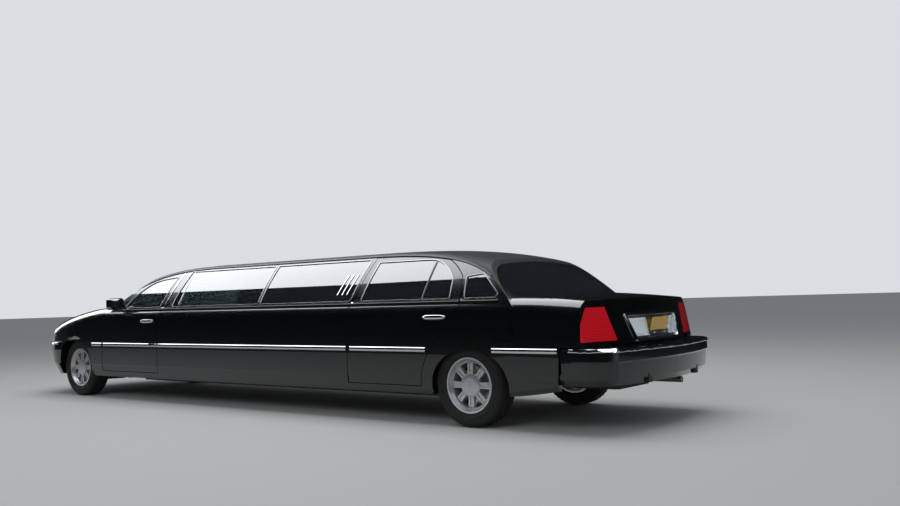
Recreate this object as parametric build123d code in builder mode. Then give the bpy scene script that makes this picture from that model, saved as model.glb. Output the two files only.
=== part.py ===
# Stretch limousine: a black four-door sedan with a long fixed section let in
# between its doors. Millimetres, +X forward, +Y to the car's left, +Z up.
# The origin is on the ground, under the middle of the car's length and width.
import math
import os

from build123d import *

os.makedirs("parts", exist_ok=True)

# Overall sizes
SEDAN_WHEELBASE = 2990.0
STRETCH = 3048.0
FRONT_OVERHANG = 1051.0
REAR_OVERHANG = 1430.0
BODY_WIDTH = 1974.0
ROOF_Z = 1522.0

WHEELBASE = SEDAN_WHEELBASE + STRETCH
LENGTH = WHEELBASE + FRONT_OVERHANG + REAR_OVERHANG
REAR = -LENGTH / 2 + REAR_OVERHANG
FRONT = REAR + WHEELBASE
SIDE = BODY_WIDTH / 2

# Body side, from the ground up
SILL_Z = 262.0
ROCKER_TOP_Z = 325.0
CREASE_Z = 398.0
SHOULDER_Z = 912.0
BELT_EDGE_Z = 1062.0
BELT_EDGE_IN = 115.0
CROWN_RISE = 28.0
GLASS_SILL_Z = 1060.0

# Walls and clearances
DOOR_WALL = 130.0
UPPER_WALL = 45.0
FENDER_WALL = 45.0
TOP_SHEET = 24.0
ROOF_SHEET = 22.0
FLANGE = 14.0
FLANGE_SEAT = 20.0
FLANGE_LAP = 34.0
JAMB_LAP = 18.0
PANEL_GAP = 7.0
GLASS = 5.0
GLASS_RECESS = 4.0
SEAT_GAP = 0.3

# Door hinges: behind the door's front edge and inboard of its skin
HINGE_BACK = 22.0
HINGE_IN = 25.0
HINGE_RELIEF = math.hypot(HINGE_BACK, HINGE_IN) + 4.5
HINGE_ZS = (430.0, 790.0)
HINGE_HEIGHT = 60.0

# Wheels
TYRE_R = 345.0
TYRE_W = 225.0
RIM_R = 229.0
RIM_W = 190.0
FRONT_TRACK = 1610.0
REAR_TRACK = 1666.0
AXLE_Z = TYRE_R
KINGPIN_IN = 100.0
ARCH_R = 390.0
REAR_ARCH_RISE = 300.0
REAR_ARCH_BACK = 42.0
ARCH_LIP = 30.0
TYRE_ROOM_R = TYRE_R + 30
WELL_R = 440.0
SPOKES = 8

# Places along the car
FRONT_DOOR_FRONT = FRONT - 640
FRONT_DOOR_REAR = FRONT - 1746
REAR_DOOR_FRONT = REAR + 1326
DOOR_BOTTOM_Z = ROCKER_TOP_Z + PANEL_GAP
FIRST_PANE_FRONT = FRONT - 1950
MID_PILLAR = FIRST_PANE_FRONT - 1465
SECOND_PANE_REAR = REAR + 1345
MID_PILLAR_WIDTH = 44.0
FRONT_CLIP = FRONT - 600
REAR_CLIP = REAR
HOOD_HALF = 715.0
HOOD_REAR = FRONT - 560
LID_HALF = 668.0
LID_FRONT = REAR - 668
BUMPER_TOP_Z = 658.0
GRILLE_HALF = 400.0
FACE_DEPTH = 55.0

# Upper body cross-section: one arc from the belt to the drip rail
TUMBLE = ((940.0, 1026.0), (798.0, 1258.0), (632.0, 1462.0))


def circle_through(a, b, c):
    """Centre and radius of the circle through three points."""
    ax, ay = a
    bx, by = b[0] - ax, b[1] - ay
    cx, cy = c[0] - ax, c[1] - ay
    d = 2 * (bx * cy - by * cx)
    ux = (cy * (bx**2 + by**2) - by * (cx**2 + cy**2)) / d
    uy = (bx * (cx**2 + cy**2) - cx * (bx**2 + by**2)) / d
    return ax + ux, ay + uy, math.hypot(ux, uy)


TUMBLE_Y, TUMBLE_Z, TUMBLE_R = circle_through(*TUMBLE)
TUMBLE_Y += SIDE - 987.0


def upper_y(z, inset=0.0):
    """Half-width of the upper body at a height, measured to a skin set in."""
    return TUMBLE_Y + math.sqrt((TUMBLE_R - inset) ** 2 - (z - TUMBLE_Z) ** 2)


# Solids of revolution, prisms and mirrored pieces
def side_prism(outline, y_in, y_out, grow=0.0):
    """Prism through the car's left side: a side-view outline, run outwards."""
    with BuildPart() as prism:
        with BuildSketch(Plane.XZ.offset(-y_in)):
            with BuildLine():
                outline()
            make_face()
            if grow:
                offset(amount=grow, kind=Kind.INTERSECTION)
        extrude(amount=y_in - y_out)
    return prism.part


def plan_prism(outline, z_low, z_high):
    """Prism seen from above: a plan outline, run upwards."""
    with BuildPart() as prism:
        with BuildSketch(Plane.XY.offset(z_low)):
            with BuildLine():
                outline()
            make_face()
        extrude(amount=z_high - z_low)
    return prism.part


def cross_prism(outline, x_low, x_high):
    """Prism along the car: a cross-section, run forwards."""
    with BuildPart() as prism:
        with BuildSketch(Plane.YZ.offset(x_low)):
            with BuildLine():
                outline()
            make_face()
        extrude(amount=x_high - x_low)
    return prism.part


def block(x_low, x_high, y_low, y_high, z_low, z_high):
    """Rectangular block between six planes."""
    with BuildPart() as box:
        with Locations(((x_low + x_high) / 2, (y_low + y_high) / 2, (z_low + z_high) / 2)):
            Box(x_high - x_low, y_high - y_low, z_high - z_low)
    return box.part


def cylinder_y(x, z, radius, y_low, y_high):
    """Cylinder across the car."""
    with BuildPart() as rod:
        with BuildSketch(Plane.XZ.offset(-y_low)):
            with Locations((x, z)):
                Circle(radius)
        extrude(amount=y_low - y_high)
    return rod.part


def cylinder_z(x, y, radius, z_low, z_high):
    """Upright cylinder."""
    with BuildPart() as rod:
        with BuildSketch(Plane.XY.offset(z_low)):
            with Locations((x, y)):
                Circle(radius)
        extrude(amount=z_high - z_low)
    return rod.part


def combine(base, add_parts=(), cut_parts=(), keep_parts=()):
    """One solid with others fused on, kept within others, and cut by others."""
    with BuildPart() as result:
        add(base)
        for part in add_parts:
            add(part)
        for part in keep_parts:
            add(part, mode=Mode.INTERSECT)
        for part in cut_parts:
            add(part, mode=Mode.SUBTRACT)
    return result.part


def both_sides(part):
    """A left-hand solid and its mirror image, fused where they meet."""
    with BuildPart() as pair:
        add(part)
        mirror(about=Plane.XZ)
    return pair.part


def mirrored(part):
    """The right-hand twin of a left-hand solid."""
    with BuildPart() as twin:
        add(part)
        mirror(about=Plane.XZ, mode=Mode.REPLACE)
    return twin.part


def shifted(part, dx=0.0, dy=0.0, dz=0.0):
    """A solid moved along the axes."""
    with BuildPart() as moved:
        with Locations((dx, dy, dz)):
            add(part)
    return moved.part


def write(name, part):
    """Label a finished piece and write it to its own file."""
    part.label = name
    export_step(part, "parts/" + name + ".step")


# Lower body: half cross-sections lofted at the ends, constant between
def body_section(x, width, sill, edge_z, edge_in, side_in=0.0, top_in=0.0):
    """Half cross-section: sill, crease, bowed side, shoulder arc and crown."""
    w = width - side_in
    edge = edge_z - top_in
    shoulder = edge - (BELT_EDGE_Z - SHOULDER_Z)
    with BuildSketch(Plane.YZ.offset(x)) as section:
        with BuildLine():
            Polyline((0, edge + CROWN_RISE), (0, sill), (w - 40, sill), (w - 14, sill + 40))
            Line((w - 14, sill + 40), (w - 10, CREASE_Z - 8))
            Line((w - 10, CREASE_Z - 8), (w - 3, CREASE_Z + 4))
            side = ThreePointArc((w - 3, CREASE_Z + 4), (w, (CREASE_Z + shoulder) / 2), (w - 3, shoulder))
            TangentArc((w - 3, shoulder), (w - edge_in, edge), tangent=side % 1)
            TangentArc((0, edge + CROWN_RISE), (w - edge_in, edge), tangent=(1, 0))
        make_face()
    return section.sketch


# Stations of the two ends: distance ahead of the axle, width off the full
# half-width, sill height, shoulder edge height, shoulder width
NOSE_STATIONS = (
    (-600, 0, SILL_Z, BELT_EDGE_Z, BELT_EDGE_IN),
    (-420, 0, SILL_Z, 1054, BELT_EDGE_IN),
    (-60, 0, 270, 1008, BELT_EDGE_IN),
    (300, 12, 285, 944, BELT_EDGE_IN),
    (640, 62, 300, 868, BELT_EDGE_IN),
    (1000, 190, 310, 770, BELT_EDGE_IN),
)
TAIL_STATIONS = (
    (0, 0, SILL_Z, BELT_EDGE_Z, BELT_EDGE_IN),
    (-200, 0, SILL_Z, 1060, 114),
    (-600, 2, 290, 1050, 106),
    (-1000, 14, 350, 1020, 97),
    (-1340, 48, 390, 984, 93),
)


def clip_loft(axle, stations, side_in=0.0, top_in=0.0, open_below=0.0):
    """Half of the car's front or rear end."""
    with BuildPart() as clip:
        for ahead, narrower, sill, edge_z, edge_in in stations:
            low = sill - open_below
            add(body_section(axle + ahead, SIDE - narrower, low, edge_z, edge_in, side_in, top_in))
        loft()
    return clip.part


def mid_lower(inset=0.0):
    """Half of the lower body between the ends, skin set in."""
    with BuildPart() as middle:
        add(body_section(REAR_CLIP, SIDE, SILL_Z + inset, BELT_EDGE_Z, BELT_EDGE_IN, inset, inset))
        extrude(amount=FRONT_CLIP - REAR_CLIP, dir=(1, 0, 0))
    return middle.part


UPPER_LOW_Z = 980.0
UPPER_HIGH_Z = 1560.0
UPPER_REAR = REAR - 720
UPPER_FRONT = FRONT - 480


def upper_half(inset=0.0, x_low=UPPER_REAR, x_high=UPPER_FRONT):
    """Half of the upper body's side extrusion, skin set in."""
    z_mid = (UPPER_LOW_Z + UPPER_HIGH_Z) / 2

    def outline():
        low = (upper_y(UPPER_LOW_Z, inset), UPPER_LOW_Z)
        high = (upper_y(UPPER_HIGH_Z, inset), UPPER_HIGH_Z)
        ThreePointArc(low, (upper_y(z_mid, inset), z_mid), high)
        Polyline(high, (0, UPPER_HIGH_Z), (0, UPPER_LOW_Z), low)

    return cross_prism(outline, x_low, x_high)


# Roof: the crown's height along the car, from the windshield to the tail
ROOF_FRONT_STATIONS = (
    (FRONT - 480, -330),
    (FRONT - 1000, -160),
    (FRONT - 1300, -84),
    (FRONT - 1600, -36),
    (FRONT - 2000, -8),
    (FRONT - 2300, 0),
)
ROOF_REAR_STATIONS = (
    (REAR + 1240, 0),
    (REAR + 900, -6),
    (REAR + 550, -24),
    (REAR + 250, -56),
    (REAR + 0, -102),
    (REAR - 300, -190),
    (REAR - 720, -350),
)


def roof_section(x, crown):
    """Half of the space under the roof skin."""
    with BuildSketch(Plane.YZ.offset(x)) as section:
        with BuildLine():
            top = TangentArc((0, crown), (560, crown - 26), tangent=(1, 0))
            TangentArc((560, crown - 26), (900, crown - 190), tangent=top % 1)
            Polyline((900, crown - 190), (1040, crown - 330), (1040, 600), (0, 600), (0, crown))
        make_face()
    return section.sketch


def roof_stretch(stations):
    """Half of the space under one smoothly curved stretch of the roof."""
    with BuildPart() as stretch:
        for x, drop in stations:
            add(roof_section(x, ROOF_Z + drop))
        loft()
    return stretch.part


with BuildPart() as level_roof:
    add(roof_section(ROOF_REAR_STATIONS[0][0], ROOF_Z))
    extrude(amount=ROOF_FRONT_STATIONS[-1][0] - ROOF_REAR_STATIONS[0][0], dir=(1, 0, 0))
under_roof = combine(level_roof.part, [roof_stretch(ROOF_FRONT_STATIONS), roof_stretch(ROOF_REAR_STATIONS)])
under_roof_sheet = shifted(under_roof, dz=-ROOF_SHEET)


# Screens: curved in plan and raked; each tool is the space outside a screen
def screen_tool(arcs, far):
    """Space ahead of or behind a raked screen, from plan arcs at heights."""
    with BuildPart() as tool:
        for z, x_centre, x_side, half in arcs:
            with BuildSketch(Plane.XY.offset(z)):
                with BuildLine():
                    ThreePointArc((x_side, -half), (x_centre, 0), (x_side, half))
                    Polyline((x_side, half), (far, half), (far, -half), (x_side, -half))
                make_face()
        loft(ruled=len(arcs) == 2)
    return tool.part


WINDSHIELD_ARCS = (
    (980, FRONT - 480, FRONT - 800, 1100),
    (1270, FRONT - 950, FRONT - 1260, 1100),
    (1470, FRONT - 1450, FRONT - 1690, 1100),
    (1620, FRONT - 2000, FRONT - 2200, 1100),
)
REAR_SCREEN_ARCS = (
    (940, REAR - 800, REAR - 440, 1100),
    (1560, REAR + 180, REAR + 240, 1100),
)
NOSE_ARCS = (
    (560, FRONT + 990, FRONT + 560, 1100),
    (980, FRONT + 800, FRONT + 200, 1100),
)
TAIL_ARCS = (
    (560, REAR - 1300, REAR - 1085, 1100),
    (1060, REAR - 1180, REAR - 1000, 1100),
)
ahead_of_windshield = screen_tool(WINDSHIELD_ARCS, FRONT + 400)
behind_rear_screen = screen_tool(REAR_SCREEN_ARCS, REAR - 1500)
ahead_of_nose = screen_tool(NOSE_ARCS, FRONT + 1500)
behind_tail = screen_tool(TAIL_ARCS, REAR - 1800)


# Door outlines in side view
def front_door_outline():
    """Front door: upright front edge, frame under the A-pillar and cantrail."""
    x = FRONT
    Polyline(
        (FRONT_DOOR_REAR, DOOR_BOTTOM_Z),
        (FRONT_DOOR_FRONT, DOOR_BOTTOM_Z),
        (FRONT_DOOR_FRONT, 1070),
        (x - 975, 1070),
    )
    ThreePointArc((x - 975, 1070), (x - 1190, 1300), (x - 1560, 1416))
    Polyline(
        (x - 1560, 1416),
        (x - 1838, 1440),
        (FRONT_DOOR_REAR - 46, 1050),
        (FRONT_DOOR_REAR, 985),
        (FRONT_DOOR_REAR, DOOR_BOTTOM_Z),
    )


def rear_door_outline():
    """Rear door: rounded top rear corner, lower corner around the wheel arch."""
    x = REAR
    Polyline(
        (x + 474, DOOR_BOTTOM_Z),
        (REAR_DOOR_FRONT, DOOR_BOTTOM_Z),
        (REAR_DOOR_FRONT, 985),
        (REAR_DOOR_FRONT - 30, 1050),
        (REAR_DOOR_FRONT - 86, 1452),
        (x + 640, 1446),
    )
    ThreePointArc((x + 640, 1446), (x + 300, 1376), (x + 120, 1240))
    Polyline((x + 120, 1240), (x + 62, 1040), (x + 100, 830))
    ThreePointArc((x + 100, 830), (x + 332, 677), (x + 474, DOOR_BOTTOM_Z))


def front_glass_outline():
    """Front door window."""
    x = FRONT
    Line((x - 1724, GLASS_SILL_Z), (x - 1045, GLASS_SILL_Z))
    ThreePointArc((x - 1045, GLASS_SILL_Z), (x - 1225, 1258), (x - 1570, 1372))
    Polyline((x - 1570, 1372), (x - 1766, 1392), (x - 1724, GLASS_SILL_Z))


def rear_glass_outline():
    """Rear door window."""
    x = REAR
    Polyline((x + 186, GLASS_SILL_Z), (x + 1204, GLASS_SILL_Z), (x + 1170, 1410), (x + 640, 1404))
    ThreePointArc((x + 640, 1404), (x + 350, 1340), (x + 216, 1225))
    Line((x + 216, 1225), (x + 186, GLASS_SILL_Z))


def opera_outline():
    """Small fixed window in the C-pillar."""
    x = REAR
    Polyline(
        (x + 24, GLASS_SILL_Z),
        (x + 70, 1240),
        (x - 96, 1256),
        (x - 300, 1092),
        (x - 286, GLASS_SILL_Z),
        (x + 24, GLASS_SILL_Z),
    )


def pane_outline(x_front, x_rear, lean_front, lean_rear):
    """Fixed side window of the stretch; its ends lean with the pillars."""

    def outline():
        Polyline(
            (x_rear, GLASS_SILL_Z),
            (x_front, GLASS_SILL_Z),
            (x_front - lean_front, 1440),
            (x_rear - lean_rear, 1440),
            (x_rear, GLASS_SILL_Z),
        )

    return outline


DOOR_INNER_Y = 480.0
OUTSIDE_Y = 1120.0

# Walls: the lower body side and the upper body side, left half
skin_0 = mid_lower()
skin_flange = mid_lower(FLANGE)
skin_seat = mid_lower(FLANGE_SEAT)
upper_0 = upper_half()
upper_flange = upper_half(FLANGE)
upper_seat = upper_half(FLANGE_SEAT)
upper_in = upper_half(UPPER_WALL)

INNER_Y = SIDE - DOOR_WALL
cabin_lower = block(REAR_CLIP - 10, FRONT_CLIP + 10, -10, INNER_Y, 0, 1200)
below_doors = block(REAR_CLIP - 10, FRONT_CLIP + 10, 0, OUTSIDE_Y, 0, ROCKER_TOP_Z)

lower_wall = combine(skin_0, cut_parts=[cabin_lower, below_doors])
upper_wall = combine(
    upper_0,
    keep_parts=[under_roof_sheet],
    cut_parts=[upper_in, ahead_of_windshield, behind_rear_screen],
)
door_upper_wall = combine(upper_wall, keep_parts=[shifted(under_roof_sheet, dz=-PANEL_GAP)])


# Doors: an outer flange over the whole outline, a thick inner part set in
def hinge_barrels(x):
    """Hinge barrels about a left-hand door's axis, inside its skin."""
    with BuildPart() as barrels:
        for z in HINGE_ZS:
            add(cylinder_z(x, HINGE_Y, HINGE_RELIEF - SEAT_GAP, z, z + HINGE_HEIGHT))
    return combine(barrels.part, keep_parts=[skin_flange])


def door_solid(outline, glass_outline, hinge_x):
    """One left-hand door, with its window cut and its hinge barrels."""
    whole = side_prism(outline, DOOR_INNER_Y, OUTSIDE_Y)
    inner = side_prism(outline, DOOR_INNER_Y, OUTSIDE_Y, -FLANGE_LAP)
    window = side_prism(glass_outline, DOOR_INNER_Y, OUTSIDE_Y)
    flange_low = combine(lower_wall, keep_parts=[whole], cut_parts=[skin_flange, upper_flange])
    flange_up = combine(door_upper_wall, keep_parts=[whole], cut_parts=[upper_flange, skin_flange])
    inner_low = combine(lower_wall, keep_parts=[inner])
    inner_up = combine(door_upper_wall, keep_parts=[inner])
    return combine(flange_low, [flange_up, inner_low, inner_up, hinge_barrels(hinge_x)], [window])


def door_cutter(outline):
    """Opening for a door: wide at the skin, narrower behind the flange."""
    wide = side_prism(outline, DOOR_INNER_Y, OUTSIDE_Y, PANEL_GAP)
    narrow = side_prism(outline, DOOR_INNER_Y - 20, OUTSIDE_Y, -JAMB_LAP)
    outer = combine(wide, cut_parts=[skin_seat, upper_seat])
    return combine(outer, [narrow])


def glass_solid(outline):
    """Side glass: a curved sheet in its window."""
    sheet = combine(upper_half(GLASS_RECESS), cut_parts=[upper_half(GLASS_RECESS + GLASS)])
    pane = side_prism(outline, DOOR_INNER_Y, OUTSIDE_Y, -SEAT_GAP)
    return combine(sheet, keep_parts=[pane])


FRONT_HINGE_X = FRONT_DOOR_FRONT - HINGE_BACK
REAR_HINGE_X = REAR_DOOR_FRONT - HINGE_BACK
HINGE_Y = SIDE - HINGE_IN
RELIEF_TOP_Z = 1012.0
front_door = door_solid(front_door_outline, front_glass_outline, FRONT_HINGE_X)
rear_door = door_solid(rear_door_outline, rear_glass_outline, REAR_HINGE_X)
front_door_cut = door_cutter(front_door_outline)
rear_door_cut = door_cutter(rear_door_outline)

front_relief = cylinder_z(FRONT_HINGE_X, HINGE_Y, HINGE_RELIEF, DOOR_BOTTOM_Z - PANEL_GAP, RELIEF_TOP_Z)
rear_relief = cylinder_z(REAR_HINGE_X, HINGE_Y, HINGE_RELIEF, DOOR_BOTTOM_Z - PANEL_GAP, RELIEF_TOP_Z)

# Body side of the stretch, with its two fixed windows
SIDE_SPLIT_FRONT = FRONT - 1700
SIDE_SPLIT_REAR = REAR + 1150
pane_1 = pane_outline(FIRST_PANE_FRONT, MID_PILLAR + MID_PILLAR_WIDTH / 2, 36, 6)
pane_2 = pane_outline(MID_PILLAR - MID_PILLAR_WIDTH / 2, SECOND_PANE_REAR, 6, 44)
pane_cuts = [side_prism(pane, DOOR_INNER_Y, OUTSIDE_Y) for pane in (pane_1, pane_2)]
between = block(SIDE_SPLIT_REAR, SIDE_SPLIT_FRONT, 0, OUTSIDE_Y, 0, 1600)
cuts = [front_door_cut, rear_door_cut, rear_relief, *pane_cuts]
stretch_low = combine(lower_wall, keep_parts=[between])
stretch_up = combine(upper_wall, keep_parts=[between])
stretch_side = combine(stretch_low, [stretch_up], cuts)
write("stretch_side_left", stretch_side)
write("stretch_side_right", mirrored(stretch_side))

# Doors and their glass
write("front_door_left", front_door)
write("front_door_right", mirrored(front_door))
write("rear_door_left", rear_door)
write("rear_door_right", mirrored(rear_door))
front_door_glass = glass_solid(front_glass_outline)
rear_door_glass = glass_solid(rear_glass_outline)
write("front_door_glass_left", front_door_glass)
write("front_door_glass_right", mirrored(front_door_glass))
write("rear_door_glass_left", rear_door_glass)
write("rear_door_glass_right", mirrored(rear_door_glass))

# Fixed side glass: two panes and the small rear window on each side
with BuildPart() as side_windows:
    for outline in (pane_1, pane_2, opera_outline):
        add(glass_solid(outline))
    mirror(about=Plane.XZ)
write("side_windows", side_windows.part)

# Roof sheet from the windshield to the rear screen
roof_half = combine(
    upper_0,
    keep_parts=[under_roof],
    cut_parts=[under_roof_sheet, ahead_of_windshield, behind_rear_screen],
)
tail_raw = clip_loft(REAR, TAIL_STATIONS)
roof_half = combine(roof_half, cut_parts=[tail_raw])
write("roof", both_sides(roof_half))

# Screens: curved glass between the pillars, under the roof sheet
windshield_half = combine(
    shifted(ahead_of_windshield, dx=-GLASS_RECESS - 2 * GLASS),
    keep_parts=[upper_in, under_roof_sheet, block(REAR, FRONT, 0, OUTSIDE_Y, 1046, 1600)],
    cut_parts=[shifted(ahead_of_windshield, dx=-GLASS_RECESS)],
)
write("windshield", both_sides(windshield_half))
rear_window_half = combine(
    shifted(behind_rear_screen, dx=GLASS_RECESS + 2 * GLASS),
    keep_parts=[upper_in, under_roof_sheet, block(REAR - 900, REAR + 400, 0, OUTSIDE_Y, 1046, 1600)],
    cut_parts=[shifted(behind_rear_screen, dx=GLASS_RECESS)],
)
write("rear_window", both_sides(rear_window_half))

# Front end: fenders, hood, grille and headlamps from one lofted half
nose_raw = clip_loft(FRONT, NOSE_STATIONS)
nose_0 = combine(nose_raw, cut_parts=[ahead_of_nose])
nose_in = clip_loft(FRONT, NOSE_STATIONS, FENDER_WALL, TOP_SHEET, 300)
behind_face = shifted(ahead_of_nose, dx=-FACE_DEPTH)
nose_shell = combine(nose_0, cut_parts=[nose_in, shifted(ahead_of_nose, dx=-FACE_DEPTH - SEAT_GAP)])
hood_shell = combine(nose_0, cut_parts=[nose_in, shifted(ahead_of_nose, dx=-FACE_DEPTH - PANEL_GAP)])
nose_face = combine(nose_0, keep_parts=[behind_face])
front_arch = cylinder_y(FRONT, AXLE_Z, ARCH_R, 400, OUTSIDE_Y)

fender_zone = combine(
    block(FRONT_DOOR_FRONT + PANEL_GAP, FRONT + 1000, HOOD_HALF + PANEL_GAP, OUTSIDE_Y, ROCKER_TOP_Z, 1200),
    cut_parts=[
        front_arch,
        front_relief,
        block(FRONT + 300, FRONT + 1200, 0, OUTSIDE_Y, 0, BUMPER_TOP_Z + PANEL_GAP),
        block(FRONT_CLIP - 60, HOOD_REAR, 0, INNER_Y, 1010, 1200),
    ],
)
fender_bridge_zone = block(
    FRONT_DOOR_FRONT + PANEL_GAP, FRONT_CLIP, SIDE - FENDER_WALL, OUTSIDE_Y, ROCKER_TOP_Z, 1200)
fender_bridge = combine(lower_wall, keep_parts=[fender_bridge_zone], cut_parts=[front_relief])
front_fender = combine(combine(nose_shell, keep_parts=[fender_zone]), [fender_bridge])
write("front_fender_left", front_fender)
write("front_fender_right", mirrored(front_fender))

hood_zone = block(HOOD_REAR + PANEL_GAP, FRONT + 1000, 0, HOOD_HALF, 700, 1200)
write("hood", both_sides(combine(hood_shell, keep_parts=[hood_zone])))

lamp_zone_front = block(FRONT + 300, FRONT + 1200, GRILLE_HALF + 14, OUTSIDE_Y, BUMPER_TOP_Z + 8, 1000)
write("headlamps", both_sides(combine(nose_face, keep_parts=[lamp_zone_front])))
grille_zone = block(FRONT + 300, FRONT + 1200, 0, GRILLE_HALF, BUMPER_TOP_Z, 1000)
write("grille", both_sides(combine(nose_face, keep_parts=[grille_zone])))

# Cowl, A-pillars, hinge pillars and the rails over the front doors
cowl_top = combine(
    skin_0,
    [nose_0],
    keep_parts=[
        block(FRONT - 1000, HOOD_REAR, 0, INNER_Y, 1010, 1200),
        shifted(ahead_of_windshield, dx=-GLASS_RECESS - 2 * GLASS),
    ],
    cut_parts=[windshield_half],
)
front_ring_zone = block(SIDE_SPLIT_FRONT, FRONT_CLIP, 0, OUTSIDE_Y, 0, 1600)
hood_hinge = combine(
    block(HOOD_REAR - 40, HOOD_REAR + 90, 590, 620, 1012, 1100),
    keep_parts=[shifted(combine(skin_0, [nose_in]), dz=-SEAT_GAP)],
)
front_ring_low = combine(
    lower_wall,
    keep_parts=[front_ring_zone],
    cut_parts=[
        front_door_cut,
        front_fender,
        front_relief,
        block(FRONT_DOOR_FRONT - 30, FRONT_CLIP, SIDE - FENDER_WALL, OUTSIDE_Y, 0, 1200),
    ],
)
front_ring_up = combine(upper_wall, keep_parts=[front_ring_zone], cut_parts=[front_door_cut])
cowl_half = combine(front_ring_up, [front_ring_low, cowl_top, hood_hinge], [windshield_half])
write("cowl_and_pillars", both_sides(cowl_half))

# Tail end: quarter panels, trunk lid, lamps and tail panel
tail_0 = combine(tail_raw, cut_parts=[behind_tail])
TAIL_FACE_DEPTH = 40.0
tail_hollow = clip_loft(REAR, TAIL_STATIONS, FENDER_WALL, TOP_SHEET, 300)
tail_in = combine(tail_hollow, cut_parts=[shifted(behind_tail, dx=TAIL_FACE_DEPTH)])
tail_shell = combine(tail_0, cut_parts=[tail_in])
with BuildPart() as rear_opening:
    with BuildSketch(Plane.XZ.offset(-400)):
        with Locations((REAR - REAR_ARCH_BACK, AXLE_Z)):
            Ellipse(ARCH_R, REAR_ARCH_RISE)
    extrude(amount=400 - OUTSIDE_Y)
rear_arch = rear_opening.part
rear_tyre_room = cylinder_y(REAR, AXLE_Z, TYRE_ROOM_R, 400, SIDE - ARCH_LIP)

TAIL_LAMP_LOW_Z = 704.0
TAIL_LAMP_HIGH_Z = 962.0
TAIL_LAMP_IN_LOW = 610.0
TAIL_LAMP_IN_HIGH = LID_HALF + PANEL_GAP
TAIL_LAMP_FRONT = REAR - 1085
TAIL_END = REAR - 1400
LID_LOW_Z = BUMPER_TOP_Z + 14


def lamp_edge_y(z):
    """Where the tail lamps' slanting inner edge is at a height."""
    slant = (TAIL_LAMP_IN_HIGH - TAIL_LAMP_IN_LOW) / (TAIL_LAMP_HIGH_Z - TAIL_LAMP_LOW_Z)
    return TAIL_LAMP_IN_LOW + (z - TAIL_LAMP_LOW_Z) * slant


def beside_lamps(z_low, z_high, y_in, x_front, grow=0.0):
    """Prism across the tail from the lamp edge out to the side, or in to y_in."""

    def outline():
        Polyline(
            (lamp_edge_y(z_low) - grow, z_low),
            (lamp_edge_y(z_high) - grow, z_high),
            (y_in, z_high),
            (y_in, z_low),
            close=True,
        )

    return cross_prism(outline, TAIL_END, x_front)


lamp_zone = beside_lamps(TAIL_LAMP_LOW_Z, TAIL_LAMP_HIGH_Z, OUTSIDE_Y, TAIL_LAMP_FRONT)
lamp_gap_zone = beside_lamps(
    TAIL_LAMP_LOW_Z - PANEL_GAP,
    TAIL_LAMP_HIGH_Z + PANEL_GAP,
    OUTSIDE_Y,
    TAIL_LAMP_FRONT + PANEL_GAP,
    PANEL_GAP,
)
tail_lamp = combine(tail_shell, keep_parts=[lamp_zone])
write("tail_lamps", both_sides(tail_lamp))

lid_zone = block(TAIL_END, LID_FRONT, 0, LID_HALF, 900, 1200)
lid_face_zone = beside_lamps(LID_LOW_Z, TAIL_LAMP_HIGH_Z, 0, REAR - 1000, PANEL_GAP)
lid_half = combine(
    combine(tail_shell, keep_parts=[lid_zone]),
    [combine(tail_shell, keep_parts=[lid_face_zone])],
    [lamp_gap_zone],
)
lid_gap = block(TAIL_END, LID_FRONT + PANEL_GAP, 0, LID_HALF + PANEL_GAP, 900, 1200)
write("trunk_lid", both_sides(lid_half))

tail_panel_zone = block(TAIL_END, REAR - 1000, 0, 840, 420, BUMPER_TOP_Z + PANEL_GAP)
tail_panel_half = combine(tail_shell, keep_parts=[tail_panel_zone])
write("tail_panel", both_sides(tail_panel_half))

FUEL_X = REAR - 405
FUEL_Z = 790.0
FUEL_W = 158.0
FUEL_H = 146.0


def fuel_outline():
    """Fuel filler door in side view."""
    FilletPolyline(
        (FUEL_X - FUEL_W / 2, FUEL_Z - FUEL_H / 2),
        (FUEL_X + FUEL_W / 2, FUEL_Z - FUEL_H / 2),
        (FUEL_X + FUEL_W / 2, FUEL_Z + FUEL_H / 2),
        (FUEL_X - FUEL_W / 2, FUEL_Z + FUEL_H / 2),
        radius=28,
        close=True,
    )


FUEL_PLATE = 8.0
fuel_skin = clip_loft(REAR, TAIL_STATIONS, FUEL_PLATE, 0)
FUEL_GAP = 6.0
FUEL_HINGE_X = FUEL_X + FUEL_W / 2
FUEL_HINGE_Y = SIDE - 4
fuel_hinge = combine(
    cylinder_z(FUEL_HINGE_X, FUEL_HINGE_Y, FUEL_GAP - SEAT_GAP, FUEL_Z - 30, FUEL_Z + 30),
    keep_parts=[tail_0],
)
fuel_plate = combine(tail_0, keep_parts=[side_prism(fuel_outline, 600, OUTSIDE_Y)], cut_parts=[fuel_skin])
fuel_door = combine(fuel_plate, [fuel_hinge])
write("fuel_door", fuel_door)

REAR_BUMPER_END = REAR - 900


def bumper_side_outline():
    """Side view of the rear corner that the bumper covers."""
    Polyline(
        (REAR_BUMPER_END + 40, 0),
        (REAR - 1500, 0),
        (REAR - 1500, BUMPER_TOP_Z + PANEL_GAP),
        (REAR_BUMPER_END, BUMPER_TOP_Z + PANEL_GAP),
        close=True,
    )


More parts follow.
